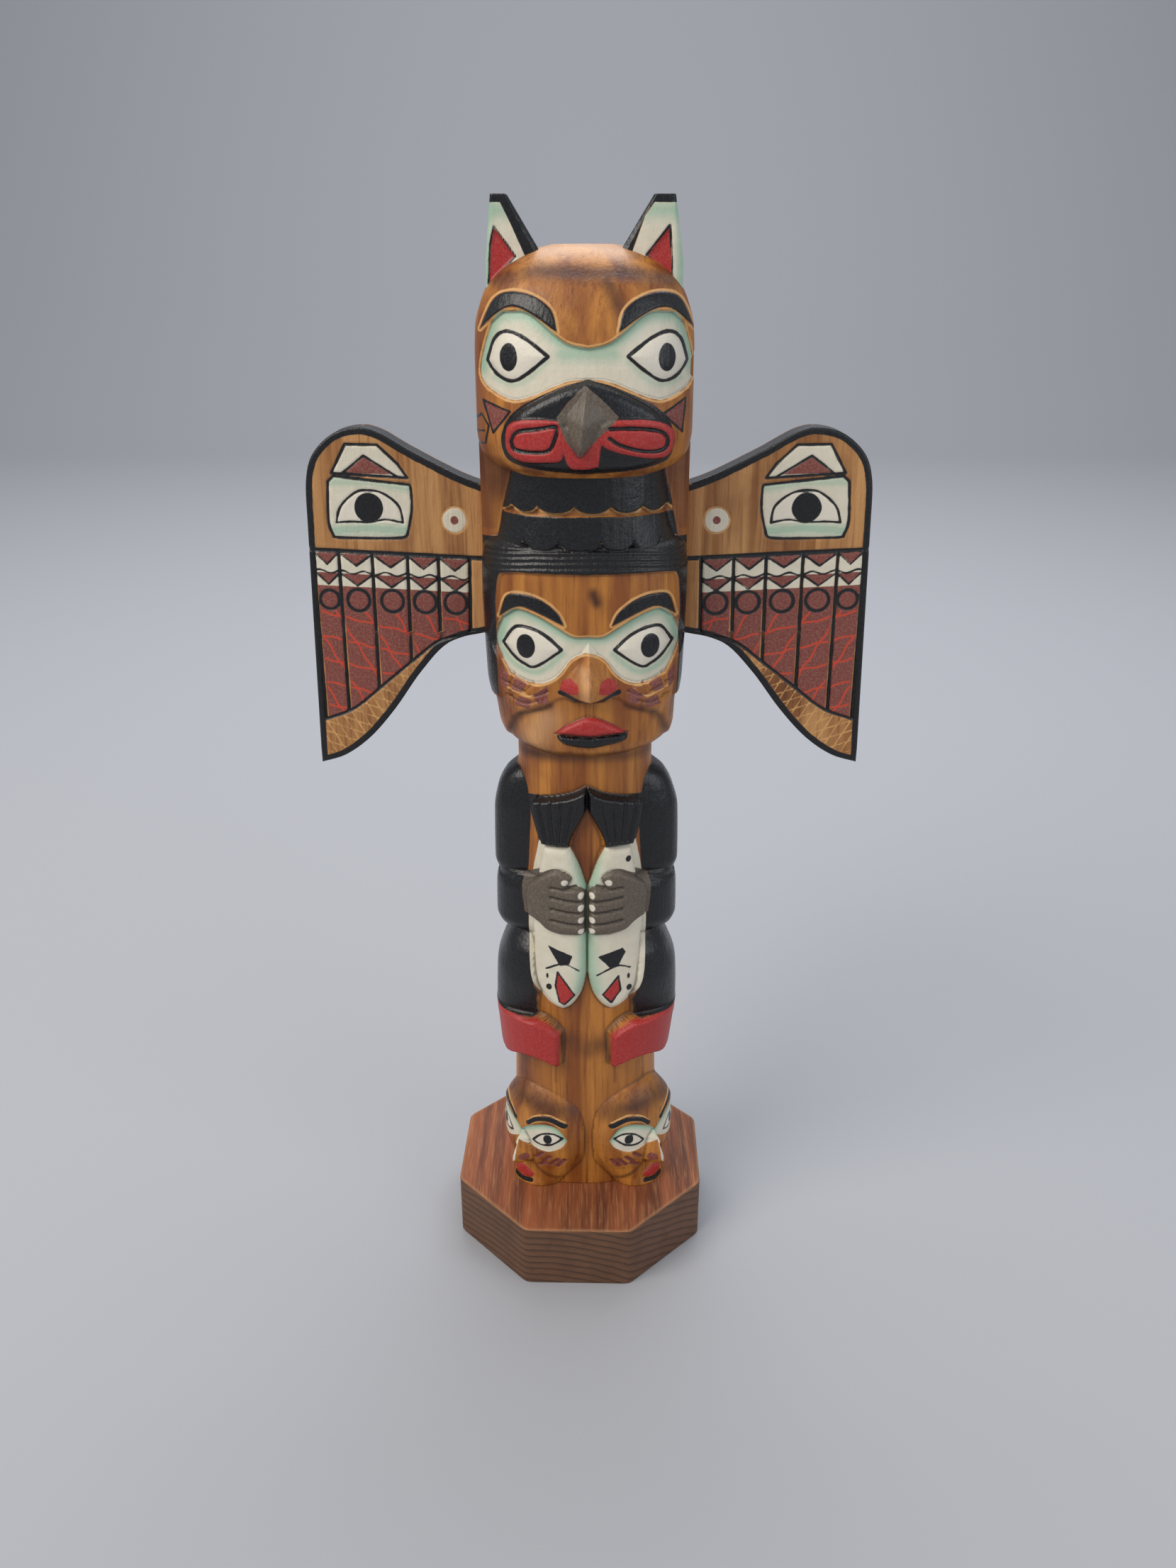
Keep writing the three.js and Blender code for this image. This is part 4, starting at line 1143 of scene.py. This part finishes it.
def wing_front(u, z, depth):
    """The cuts (0 to 1 deep) and the paints of a wing's front, at u mm out from its root."""
    paint = {name: np.full(u.shape, FAR) for name in PAINTS}
    paint.update({name: np.zeros(u.shape) for name in SHADES})
    cut = np.zeros(u.shape)

    def fill(name, shape, spread=0.0):
        paint[name] = np.maximum(paint[name], inside(u, z, np.array(shape, float)) + spread)

    def line(name, points, half, deep=0.0, closed=False):
        nonlocal cut
        points = np.array(points, float)
        if closed:
            points = np.vstack([points, points[:1]])
        d = away(u, z, points)
        paint[name] = np.maximum(paint[name], half - d)
        if deep:
            cut = np.maximum(cut, deep * np.clip(1 - d / (half + 0.25), 0, 1))

    paint["black"] = np.maximum(paint["black"], 2.1 - depth)
    bar = 249.9 + 0.053 * u
    # the eye panel
    box = outline(
        [[24, 272.8], [47.5, 275.5]], [[47.5, 275.5], [49.3, 273.8]], [[49.3, 273.8], [50, 262], [48.8, 257.3]],
        [[48.8, 257.3], [46.6, 256.6], [28.6, 256.4], [25.6, 257.5]],
        [[25.6, 257.5], [23.9, 265], [23.8, 271], [24, 272.8]],
    )
    cap = np.array([[24.7, 274.9], [27.5, 279.1], [33.4, 284.8], [43.2, 285], [48, 276.4]])
    fill("cream", box)
    fill("cream", cap)
    for shape in (box, cap):
        line("black", shape, 0.45, 0.6, closed=True)
    fill("dusty", [[37.8, 281.3], [29.2, 276], [44.4, 276.4]])
    line("black", [[28, 275.4], [37.8, 281.6], [45.4, 275.8]], 0.4, 0.5)
    lid = open_line([[47.6, 261.3], [45.9, 266.3], [41.2, 270.4], [37.2, 271.2], [32.4, 270.2], [27.8, 266.3], [26.8, 261.2]])
    line("black", lid, 0.4, 0.5)
    line("black", open_line([[26.8, 261.2], [32, 262.2], [37, 261.4], [43, 261.6], [47.6, 261.3]]), 0.35, 0.4)
    fill("black", oval(37.2, 265.9, 4.5, 4.6))
    fill("pale", np.vstack([lid, [[26.8, 261.2]]]))
    d = away(u, z, [[26, 258.6], [37, 259.6], [48.6, 258.8]], 8)
    paint["mint"] = np.maximum(paint["mint"], 0.8 * np.exp(-((d / 1.3) ** 2)))
    d = away(u, z, [[25, 272], [36, 274], [48, 274]], 8)
    paint["mint"] = np.maximum(paint["mint"], 0.6 * np.exp(-((d / 1.2) ** 2)))
    # the round spot
    fill("cream", oval(10.7, 262, 3.6, 3.8))
    fill("dusty", oval(10.7, 262, 1.2, 1.3))
    line("scraped", oval(10.7, 262, 3.9, 4.1), 0.25, 0.3, closed=True)
    # the bar and the feathers
    line("black", np.column_stack([[1.5, 57], [249.9 + 0.08, 249.9 + 3.0]]), 0.75, 0.8)
    diagonal = open_line([[56, 196.4], [46.4, 200.1], [36.5, 208], [26.7, 216], [17.1, 223.2], [7.8, 225.1], [6, 226.4]])
    under = np.interp(u, diagonal[::-1, 0], diagonal[::-1, 1])
    feathers = np.minimum(np.minimum(bar - z, z - under), np.minimum(u - 6.2, depth - 1.6))
    starts = np.array([6.4, 16.3, 26.1, 37.2, 47.7, 55.6])
    k = np.clip(np.searchsorted(starts, u) - 1, 0, 4)
    left, right = starts[k] + 0.3, starts[k + 1] - 0.5
    middle, half = (left + right) / 2, (right - left) / 2
    column = np.minimum(feathers, half - np.abs(u - middle))
    drop = 0.053 * (u - 6)
    zr = z - drop
    paint["dusty"] = np.maximum(paint["dusty"], np.minimum(column, 239.0 - zr))
    paint["cream"] = np.maximum(paint["cream"], np.minimum(column, np.minimum(250.2 - zr, zr - 239.0)))
    share = np.abs(u - middle) / half
    for high, low in ((249.6, 246.0), (243.2, 239.6)):
        edge = low + (high - low) * share
        triangle = np.minimum(zr - edge, high - zr)
        paint["dusty"] = np.maximum(paint["dusty"], np.minimum(column, triangle))
        rim = 0.35 - np.abs(zr - edge + 0.2) * 0.8
        paint["black"] = np.maximum(paint["black"], np.minimum(rim, np.minimum(column, high + 0.4 - zr)))
    paint["black"] = np.maximum(paint["black"], np.minimum(0.35 - np.abs(zr - 243.6 + 0.5 * np.sin(u * 0.9)), column))
    ring_z = 236.4 - 0.2 * (4 - k) + drop * 0.2
    ring = np.hypot(u - middle, z - ring_z)
    radius = np.minimum(3.5, half - 0.5)
    paint["black"] = np.maximum(paint["black"], np.minimum(0.55 - np.abs(ring - radius), column + 0.3))
    cut = np.maximum(cut, 0.4 * np.clip(1 - np.abs(ring - radius) / 0.7, 0, 1) * (column > 0))
    for i in range(6):
        foot = np.interp(starts[i] + 0.4, diagonal[::-1, 0], diagonal[::-1, 1])
        line("black", [[starts[i], 250 + 0.053 * starts[i]], [starts[i] + 0.5, foot]], 0.55, 1.0)
        if 0 < i < 5:
            line("scraped", [[starts[i] + 1.0, 248.8 + 0.053 * starts[i]], [starts[i] + 1.5, foot + 1]], 0.3)
    line("black", diagonal, 0.5, 0.8)
    # crossed cuts through the red paint
    hatch = np.minimum(column - 0.4, 231.0 - zr)
    wander = 0.25 * np.sin(u * 0.7 + z * 0.45)
    for key, turn in (("gentle", 14), ("steep", 62)):
        a = math.radians(turn)
        paint[key] = z * math.cos(a) - u * math.sin(a) + wander
    paint["hatched"] = step(hatch, 0.5)
    below = np.minimum(np.minimum(under - 0.8 - z, depth - 2.2), u - 7)
    for turn, gap, phase in ((20, 3.4, 0.0), (62, 3.0, 0.9)):
        a = math.radians(turn)
        across_cut = (z * math.cos(a) - u * math.sin(a) + phase) % gap - gap / 2
        mark = np.minimum(0.18 - np.abs(across_cut), below)
        paint["scraped"] = np.maximum(paint["scraped"], mark)
    return cut, paint


# ---------------------------------------------------------------- the plinth


def octagon_plinth():
    """The octagonal plinth: each ring is an octagon, whose reach from the middle is the apothem over the
    cosine of the angle from the nearest side's middle; rings shrink over the eased arrises and inwards."""
    low, high = (np.array(c) * 1000 for c in base_box)
    middle = (low + high) / 2
    turn = math.radians(-1.3)
    across_flats = 89.0
    arris = bpy.context.scene.totem.sizes.arris * 1000
    sector = math.pi / 8
    side = np.linspace(-1, 1, 25)[:-1]
    within = side * sector
    angle = (np.arange(8)[:, None] * math.pi / 4 + within[None, :]).ravel()
    offset = np.tile(within, 8)
    flat = across_flats / 2 / np.cos(offset) - 0.35 * np.exp(-(((np.abs(offset) - sector) / 0.02) ** 2))
    top = high[2]
    ease = np.linspace(0, math.pi / 2, 6)
    rows = [(0.0, s) for s in (0.25, 0.6, 0.9)]
    rows += [(arris * (1 - math.cos(e)), 1 - arris * (1 - math.sin(e)) / 44) for e in ease]
    rows += [(z, 1.0) for z in np.linspace(arris, top - arris, 28)[1:-1]]
    rows += [(top - arris * (1 - math.sin(e)), 1 - arris * (1 - math.cos(e)) / 44) for e in ease]
    rows += [(top, s) for s in (0.97, 0.9, 0.8, 0.7, 0.6, 0.45, 0.3, 0.15)]
    z = np.array([r[0] for r in rows])[:, None] + 0 * angle[None, :]
    reach = np.array([r[1] for r in rows])[:, None] * flat[None, :]
    saw = 0.05 * np.sin(z * 2.1 + 3 * np.sin(angle * 3)) * ((z > 1) & (z < top - 1))
    reach = reach - 0.05 + saw
    x = middle[0] + reach * np.cos(angle + turn)
    y = middle[1] + reach * np.sin(angle + turn)
    eased = np.clip(1 - np.abs(top - z) / 0.7, 0, 1) * np.clip(1 - (flat[None, :] - reach) / 1.2, 0, 1)
    values = {"arris": eased, "top": np.where(z > top - 0.25, 1.0, 0.0)}
    return tube(np.stack([x, y, z], -1), values)


# ---------------------------------------------------------------- finishes


def add(tree, kind, links=None, **settings):
    """A node with its settings, and its inputs set or linked; an input is named or numbered."""
    made = tree.nodes.new(kind)
    for key, value in settings.items():
        setattr(made, key, value)
    for key, value in (links or {}).items():
        if isinstance(value, bpy.types.Node):
            value = value.outputs[0]
        if isinstance(value, bpy.types.NodeSocket):
            tree.links.new(value, made.inputs[key])
        else:
            made.inputs[key].default_value = value
    return made


def blank(name):
    """A new material with only its shader and its output."""
    material = bpy.data.materials.new(name)
    material.use_nodes = True
    tree = material.node_tree
    tree.nodes.clear()
    shader = add(tree, "ShaderNodeBsdfPrincipled")
    add(tree, "ShaderNodeOutputMaterial", {"Surface": shader})
    return material, tree, shader


def mixed(tree, share, below, above, blend="MIX"):
    """One colour laid over another, as far as `share` says."""
    return add(tree, "ShaderNodeMix", {0: share, 6: below, 7: above}, data_type="RGBA", blend_type=blend).outputs[2]


def painted_wood(name, paints, timber, grain, gloss, seed):
    """Oiled cedar under hand-brushed paint. The grain runs up the piece; paints lie where the carving's
    attributes say, with edges that wander a little, and each is uneven as a thin brushed coat is."""
    material, tree, shader = blank(name)
    coords = add(tree, "ShaderNodeTexCoord").outputs["Object"]
    along = add(tree, "ShaderNodeMapping", {"Vector": coords, "Location": (seed, 0, 0), "Scale": (1, 1, 0.045)})
    fibre = add(tree, "ShaderNodeTexNoise", {"Vector": along, "Scale": grain, "Detail": 5.0, "Roughness": 0.62})
    band = add(
        tree, "ShaderNodeTexNoise",
        {"Vector": along, "Scale": grain * 0.16, "Detail": 3.0, "Roughness": 0.5, "Distortion": 0.6},
    )
    cloud = add(tree, "ShaderNodeTexNoise", {"Vector": coords, "Scale": 42.0, "Detail": 3.0, "Roughness": 0.55})
    speckle = add(tree, "ShaderNodeTexNoise", {"Vector": coords, "Scale": 1500.0, "Detail": 3.0, "Roughness": 0.6})
    brushed = add(tree, "ShaderNodeTexNoise", {"Vector": coords, "Scale": 260.0, "Detail": 4.0, "Roughness": 0.6})

    bands = add(tree, "ShaderNodeMapRange", {0: band, 1: 0.38, 2: 0.62, 3: 0.0, 4: 1.0})
    light_wood, dark_wood = (tuple(c) for c in timber)
    wood = mixed(tree, bands, dark_wood, light_wood)
    fibres = add(tree, "ShaderNodeMapRange", {0: fibre, 1: 0.5, 2: 0.7, 3: 0.0, 4: 0.55})
    wood = mixed(tree, fibres, wood, dark_wood, "MULTIPLY")
    clouds = add(tree, "ShaderNodeMapRange", {0: cloud, 1: 0.52, 2: 0.72, 3: 0.0, 4: 0.5})
    wood = mixed(tree, clouds, wood, dark_wood, "MULTIPLY")

    def attribute(key):
        return add(tree, "ShaderNodeAttribute", attribute_name=key).outputs["Fac"]

    wander = add(tree, "ShaderNodeMapRange", {0: brushed, 1: 0.25, 2: 0.75, 3: -0.14, 4: 0.14})

    def covered(key, soft=0.12):
        value = add(tree, "ShaderNodeMath", {0: attribute(key), 1: wander}, operation="ADD")
        return add(tree, "ShaderNodeMapRange", {0: value, 1: -soft, 2: soft, 3: 0.0, 4: 1.0})

    # Painted highlight: the bare wood lightened where the carving marks a lit patch.
    light = add(tree, "ShaderNodeMath", {0: attribute("light"), 1: 0.7}, operation="MULTIPLY")
    wood = mixed(tree, light, wood, linear("#e0b489"))
    # Burnt wood together with painted shade in creases and under the chins, mottled by the cloud noise.
    scorch_and_shade_share = add(tree, "ShaderNodeMath", {0: attribute("scorch_and_shade"), 1: cloud}, operation="MULTIPLY")
    scorch_and_shade_share = add(tree, "ShaderNodeMapRange", {0: scorch_and_shade_share, 1: 0.05, 2: 0.5, 3: 0.0, 4: 1.0})
    wood = mixed(tree, scorch_and_shade_share, wood, tuple(paints.scorch_and_shade))
    wood = mixed(tree, covered("scraped"), wood, tuple(paints.scraped))

    thin = add(tree, "ShaderNodeMapRange", {0: speckle, 1: 0.42, 2: 0.66, 3: 0.0, 4: 1.0})
    uneven = add(tree, "ShaderNodeMapRange", {0: brushed, 1: 0.35, 2: 0.65, 3: 0.0, 4: 1.0})
    mint = mixed(tree, attribute("mint"), tuple(paints.cream), tuple(paints.mint))
    cream = mixed(
        tree, add(tree, "ShaderNodeMath", {0: uneven, 1: 0.2}, operation="MULTIPLY"), mint, linear("#b3a68c"),
    )
    dusty = mixed(
        tree, add(tree, "ShaderNodeMath", {0: thin, 1: 0.45}, operation="MULTIPLY"), tuple(paints.dusty),
        linear("#a0786c"),
    )
    red = mixed(
        tree, add(tree, "ShaderNodeMath", {0: thin, 1: 0.3}, operation="MULTIPLY"), tuple(paints.red),
        linear("#b8655c"),
    )
    taupe = mixed(
        tree, add(tree, "ShaderNodeMath", {0: thin, 1: 0.4}, operation="MULTIPLY"), tuple(paints.taupe),
        linear("#857a6c"),
    )
    black = mixed(
        tree, add(tree, "ShaderNodeMath", {0: thin, 1: 0.07}, operation="MULTIPLY"), tuple(paints.black),
        linear("#5a5a5c"),
    )
    surface = mixed(tree, covered("cream"), wood, cream)
    surface = mixed(tree, covered("dusty"), surface, dusty)
    surface = mixed(tree, covered("red"), surface, red)
    for key, gap in (("gentle", 3.8), ("steep", 4.1)):
        # crossed knife cuts, `gap` mm apart and 0.5 mm wide, that show bright red
        phase = add(tree, "ShaderNodeMath", {0: attribute(key), 1: gap, 2: 0.0}, operation="PINGPONG")
        cut = add(tree, "ShaderNodeMapRange", {0: phase, 1: 0.22, 2: 0.42, 3: 1.0, 4: 0.0})
        cut = add(tree, "ShaderNodeMath", {0: cut, 1: attribute("hatched")}, operation="MULTIPLY")
        surface = mixed(tree, cut, surface, linear("#c8452a"))
    surface = mixed(tree, covered("taupe"), surface, taupe)
    surface = mixed(tree, covered("pale"), surface, linear("#e2dac9"))
    surface = mixed(tree, covered("black"), surface, black)

    # Painted shade: wood and paint darkened in the carving's hollows, where the relief falls below its neighbourhood.
    relief = attribute("relief")
    hollow = add(tree, "ShaderNodeMapRange", {0: relief, 1: -0.15, 2: -0.9, 3: 0.0, 4: 0.55})
    surface = mixed(tree, hollow, surface, linear("#241710"))
    tree.links.new(surface, shader.inputs["Base Color"])

    black_share = covered("black")
    rough = add(tree, "ShaderNodeMapRange", {0: black_share, 1: 0.0, 2: 1.0, 3: gloss, 4: gloss - 0.15})
    rough = add(
        tree, "ShaderNodeMath",
        {0: rough, 1: add(tree, "ShaderNodeMapRange", {0: speckle, 1: 0.3, 2: 0.7, 3: -0.08, 4: 0.12})},
        operation="ADD",
    )
    tree.links.new(rough.outputs[0], shader.inputs["Roughness"])
    height = add(tree, "ShaderNodeMath", {0: brushed, 1: fibre}, operation="ADD")
    height = add(
        tree, "ShaderNodeMath",
        {0: height, 1: add(tree, "ShaderNodeMath", {0: speckle, 1: 0.35}, operation="MULTIPLY")}, operation="ADD",
    )
    bump = add(tree, "ShaderNodeBump", {"Height": height, "Strength": 0.45, "Distance": 0.0005})
    tree.links.new(bump.outputs[0], shader.inputs["Normal"])
    shader.inputs["IOR"].default_value = 1.5
    shader.inputs["Specular IOR Level"].default_value = 0.5
    return material


def painted_cedar(paints):
    """Carved red cedar, oiled, painted by hand and varnished: a warm satin wood with grain up the pole,
    and satin paint that shows the brush and thins on raised edges. Fibres are 1.4 mm apart."""
    timber = (paints.amber, paints.honey)
    return painted_wood("hand-painted varnished cedar carving", paints, timber, 700.0, 0.4, 0.0)


def painted_board(paints):
    """Sawn cedar board, knife-cut and painted: straight, closer grain and a duller face. Fibres 1 mm apart."""
    timber = (paints.board, paints.board_band)
    return painted_wood("knife-cut painted cedar board", paints, timber, 950.0, 0.48, 3.7)


def plinth_cedar():
    """Red cedar planed on top and rough-sawn round the sides, rubbed with thin stain: streaks 4 mm apart
    run from front to back on top, and growth lines 2.7 mm apart show dark on the matt sides."""
    material, tree, shader = blank("stained rough-sawn red cedar")
    coords = add(tree, "ShaderNodeTexCoord").outputs["Object"]
    warp = add(tree, "ShaderNodeTexNoise", {"Vector": coords, "Scale": 60.0, "Detail": 2.0})
    moved = add(tree, "ShaderNodeMix", {0: 0.002, 4: coords, 5: warp.outputs["Color"]}, data_type="VECTOR").outputs[1]
    rings = add(tree, "ShaderNodeMapping", {"Vector": moved, "Location": (0.020, 0.0, 0.083)})
    growth = add(
        tree, "ShaderNodeTexWave",
        {"Vector": rings, "Scale": 114.0, "Distortion": 0.6, "Detail": 2.0, "Detail Scale": 3.0}, wave_type="RINGS",
        rings_direction="Y", wave_profile="SAW",
    )
    along = add(tree, "ShaderNodeMapping", {"Vector": coords, "Scale": (1.0, 0.05, 1.0)})
    streak = add(tree, "ShaderNodeTexNoise", {"Vector": along, "Scale": 230.0, "Detail": 4.0, "Roughness": 0.6})
    fibre = add(tree, "ShaderNodeTexNoise", {"Vector": along, "Scale": 1600.0, "Detail": 3.0, "Roughness": 0.6})
    cloud = add(tree, "ShaderNodeTexNoise", {"Vector": coords, "Scale": 90.0, "Detail": 4.0, "Roughness": 0.6})
    top = add(tree, "ShaderNodeAttribute", attribute_name="top").outputs["Fac"]
    arris = add(tree, "ShaderNodeAttribute", attribute_name="arris").outputs["Fac"]
    streaks = add(tree, "ShaderNodeMapRange", {0: streak, 1: 0.35, 2: 0.65, 3: 0.0, 4: 1.0})
    face = mixed(tree, streaks, linear("#99552f"), linear("#62331c"))
    face = mixed(
        tree, add(tree, "ShaderNodeMapRange", {0: fibre, 1: 0.5, 2: 0.75, 3: 0.0, 4: 0.5}), face, linear("#c08a58"),
    )
    dark = add(tree, "ShaderNodeMapRange", {0: growth, 1: 0.55, 2: 1.0, 3: 0.0, 4: 0.85})
    flank = mixed(tree, dark, linear("#6e4c35"), linear("#3a241a"))
    flank = mixed(
        tree, add(tree, "ShaderNodeMapRange", {0: cloud, 1: 0.45, 2: 0.7, 3: 0.0, 4: 0.45}), flank, linear("#4c3023"),
    )
    surface = mixed(tree, top, flank, face)
    surface = mixed(
        tree, add(tree, "ShaderNodeMath", {0: arris, 1: 0.55}, operation="MULTIPLY"), surface, linear("#b58458"),
    )
    tree.links.new(surface, shader.inputs["Base Color"])
    height = add(tree, "ShaderNodeMath", {0: fibre, 1: growth}, operation="ADD")
    bump = add(tree, "ShaderNodeBump", {"Height": height, "Strength": 0.5, "Distance": 0.0004})
    tree.links.new(bump.outputs[0], shader.inputs["Normal"])
    shader.inputs["Roughness"].default_value = 0.62
    return material


def studio_paper():
    """Matt seamless studio paper, pale grey: no gloss, no visible grain."""
    material, _, shader = blank("matt pale paper")
    shader.inputs["Base Color"].default_value = linear("#a9aaae")
    shader.inputs["Roughness"].default_value = 0.9
    return material


# ---------------------------------------------------------------- operators and sidebar


class TOTEM_OT_pole(bpy.types.Operator):
    """Carve and paint the pole: the eagle, the man and the body with the little heads"""

    bl_idname = "totem.pole"
    bl_label = "Pole"
    bl_options = {"REGISTER", "UNDO"}

    def execute(self, context):
        finish = painted_cedar(context.scene.totem.paints)
        make("eagle", [eagle_head(), ear(-1), ear(1)], finish, "pole")
        make("man_and_chest", [man_and_chest()], finish, "pole")
        make("body_and_little_heads", [body_and_foot()], finish, "pole")
        return {"FINISHED"}


class TOTEM_OT_wings(bpy.types.Operator):
    """Cut and paint the two plank wings"""

    bl_idname = "totem.wings"
    bl_label = "Wings"
    bl_options = {"REGISTER", "UNDO"}

    def execute(self, context):
        finish = painted_board(context.scene.totem.paints)
        make("wing_left", [wing(-1)], finish, "left_wing")
        make("wing_right", [wing(1)], finish, "right_wing")
        return {"FINISHED"}


class TOTEM_OT_plinth(bpy.types.Operator):
    """Saw the octagonal plinth"""

    bl_idname = "totem.plinth"
    bl_label = "Plinth"
    bl_options = {"REGISTER", "UNDO"}

    def execute(self, context):
        make("plinth", [octagon_plinth()], plinth_cedar(), "base")
        return {"FINISHED"}


class TOTEM_OT_stage(bpy.types.Operator):
    """Set the paper sweep, the soft lights and the camera"""

    bl_idname = "totem.stage"
    bl_label = "Stage"
    bl_options = {"REGISTER", "UNDO"}

    def execute(self, context):
        scene = context.scene
        # a sweep: flat floor, a quarter circle behind, then a wall, carried straight across
        s = np.linspace(0, math.pi / 2, 24)
        profile = np.vstack([[[-3.0, 0.0]], np.column_stack([2.2 + 1.2 * np.sin(s), 1.2 - 1.2 * np.cos(s)]), [[3.4, 4.0]]])
        x = np.array([-5.0, 5.0])
        grid = np.stack(
            [x[None, :] + 0 * profile[:, :1], profile[:, :1] + 0 * x[None, :], profile[:, 1:] + 0 * x[None, :]], -1,
        )
        rows = len(profile)
        i = np.arange(rows - 1)
        faces = np.stack([2 * i, 2 * i + 1, 2 * i + 3, 2 * i + 2], -1)
        mesh = bpy.data.meshes.new("sweep")
        mesh.from_pydata(grid.reshape(-1, 3).tolist(), [], faces.tolist())
        mesh.polygons.foreach_set("use_smooth", np.full(len(faces), True))
        mesh.materials.append(studio_paper())
        floor = bpy.data.objects.new("sweep", mesh)
        scene.collection.objects.link(floor)

        for name, place, aim, size, power, tint in (
            ("key_softbox", (-0.9, -0.7, 1.25), (0, 0, 0.2), 0.9, 15.0, "#fff8ee"),
            ("top_softbox", (0.1, 0.55, 1.35), (0, 0, 0.2), 1.1, 10.0, "#f4f8ff"),
            ("backdrop_softbox", (0.0, 1.2, 2.2), (0, 3.2, 0.6), 1.6, 34.0, "#f4f6fa"),
            ("side_fill", (1.1, -0.9, 0.7), (0, 0, 0.2), 0.9, 4.5, "#f4f8ff"),
        ):
            light = bpy.data.lights.new(name, "AREA")
            light.energy, light.size = power, size
            light.color = linear(tint)[:3]
            lamp = bpy.data.objects.new(name, light)
            scene.collection.objects.link(lamp)
            lamp.location = place
            lamp.rotation_euler = (Vector(aim) - Vector(place)).to_track_quat("-Z", "Y").to_euler()

        world = bpy.data.worlds.new("soft room light")
        world.use_nodes = True
        background = world.node_tree.nodes["Background"]
        background.inputs["Color"].default_value = linear("#dfe3ea")
        background.inputs["Strength"].default_value = 0.55
        scene.world = world
        scene.view_settings.view_transform = "Standard"

        camera = bpy.data.objects.new("camera", bpy.data.cameras.new("camera"))
        camera.data.lens = 27.67
        camera.data.sensor_width = 36.0
        camera.data.clip_start = 0.01
        camera.location = (-0.0004, -0.3743, 0.3299)
        camera.rotation_euler = (math.radians(67.5), 0, 0)
        scene.collection.objects.link(camera)
        scene.camera = camera
        return {"FINISHED"}


class TOTEM_PT_panel(bpy.types.Panel):
    """The totem pole's sizes, colours and steps"""

    bl_idname = "TOTEM_PT_panel"
    bl_label = "Totem pole"
    bl_space_type = "VIEW_3D"
    bl_region_type = "UI"
    bl_category = "Totem"

    def draw(self, context):
        settings = context.scene.totem
        for title, group in (("Sizes", settings.sizes), ("Paints", settings.paints)):
            box = self.layout.box()
            box.label(text=title)
            for key in group.__annotations__:
                box.prop(group, key)
        for step_ in STEPS:
            self.layout.operator(step_.bl_idname)


STEPS = (TOTEM_OT_stage, TOTEM_OT_pole, TOTEM_OT_wings, TOTEM_OT_plinth)
CLASSES = (TOTEM_PG_sizes, TOTEM_PG_paints, TOTEM_PG_settings, *STEPS, TOTEM_PT_panel)


def register():
    for kind in CLASSES:
        bpy.utils.register_class(kind)
    bpy.types.Scene.totem = PointerProperty(type=TOTEM_PG_settings)


def unregister():
    del bpy.types.Scene.totem
    for kind in reversed(CLASSES):
        bpy.utils.unregister_class(kind)


def main():
    """Make everything."""
    register()
    bpy.ops.totem.stage()
    bpy.ops.totem.pole()
    bpy.ops.totem.wings()
    bpy.ops.totem.plinth()


if __name__ == "__main__":
    main()
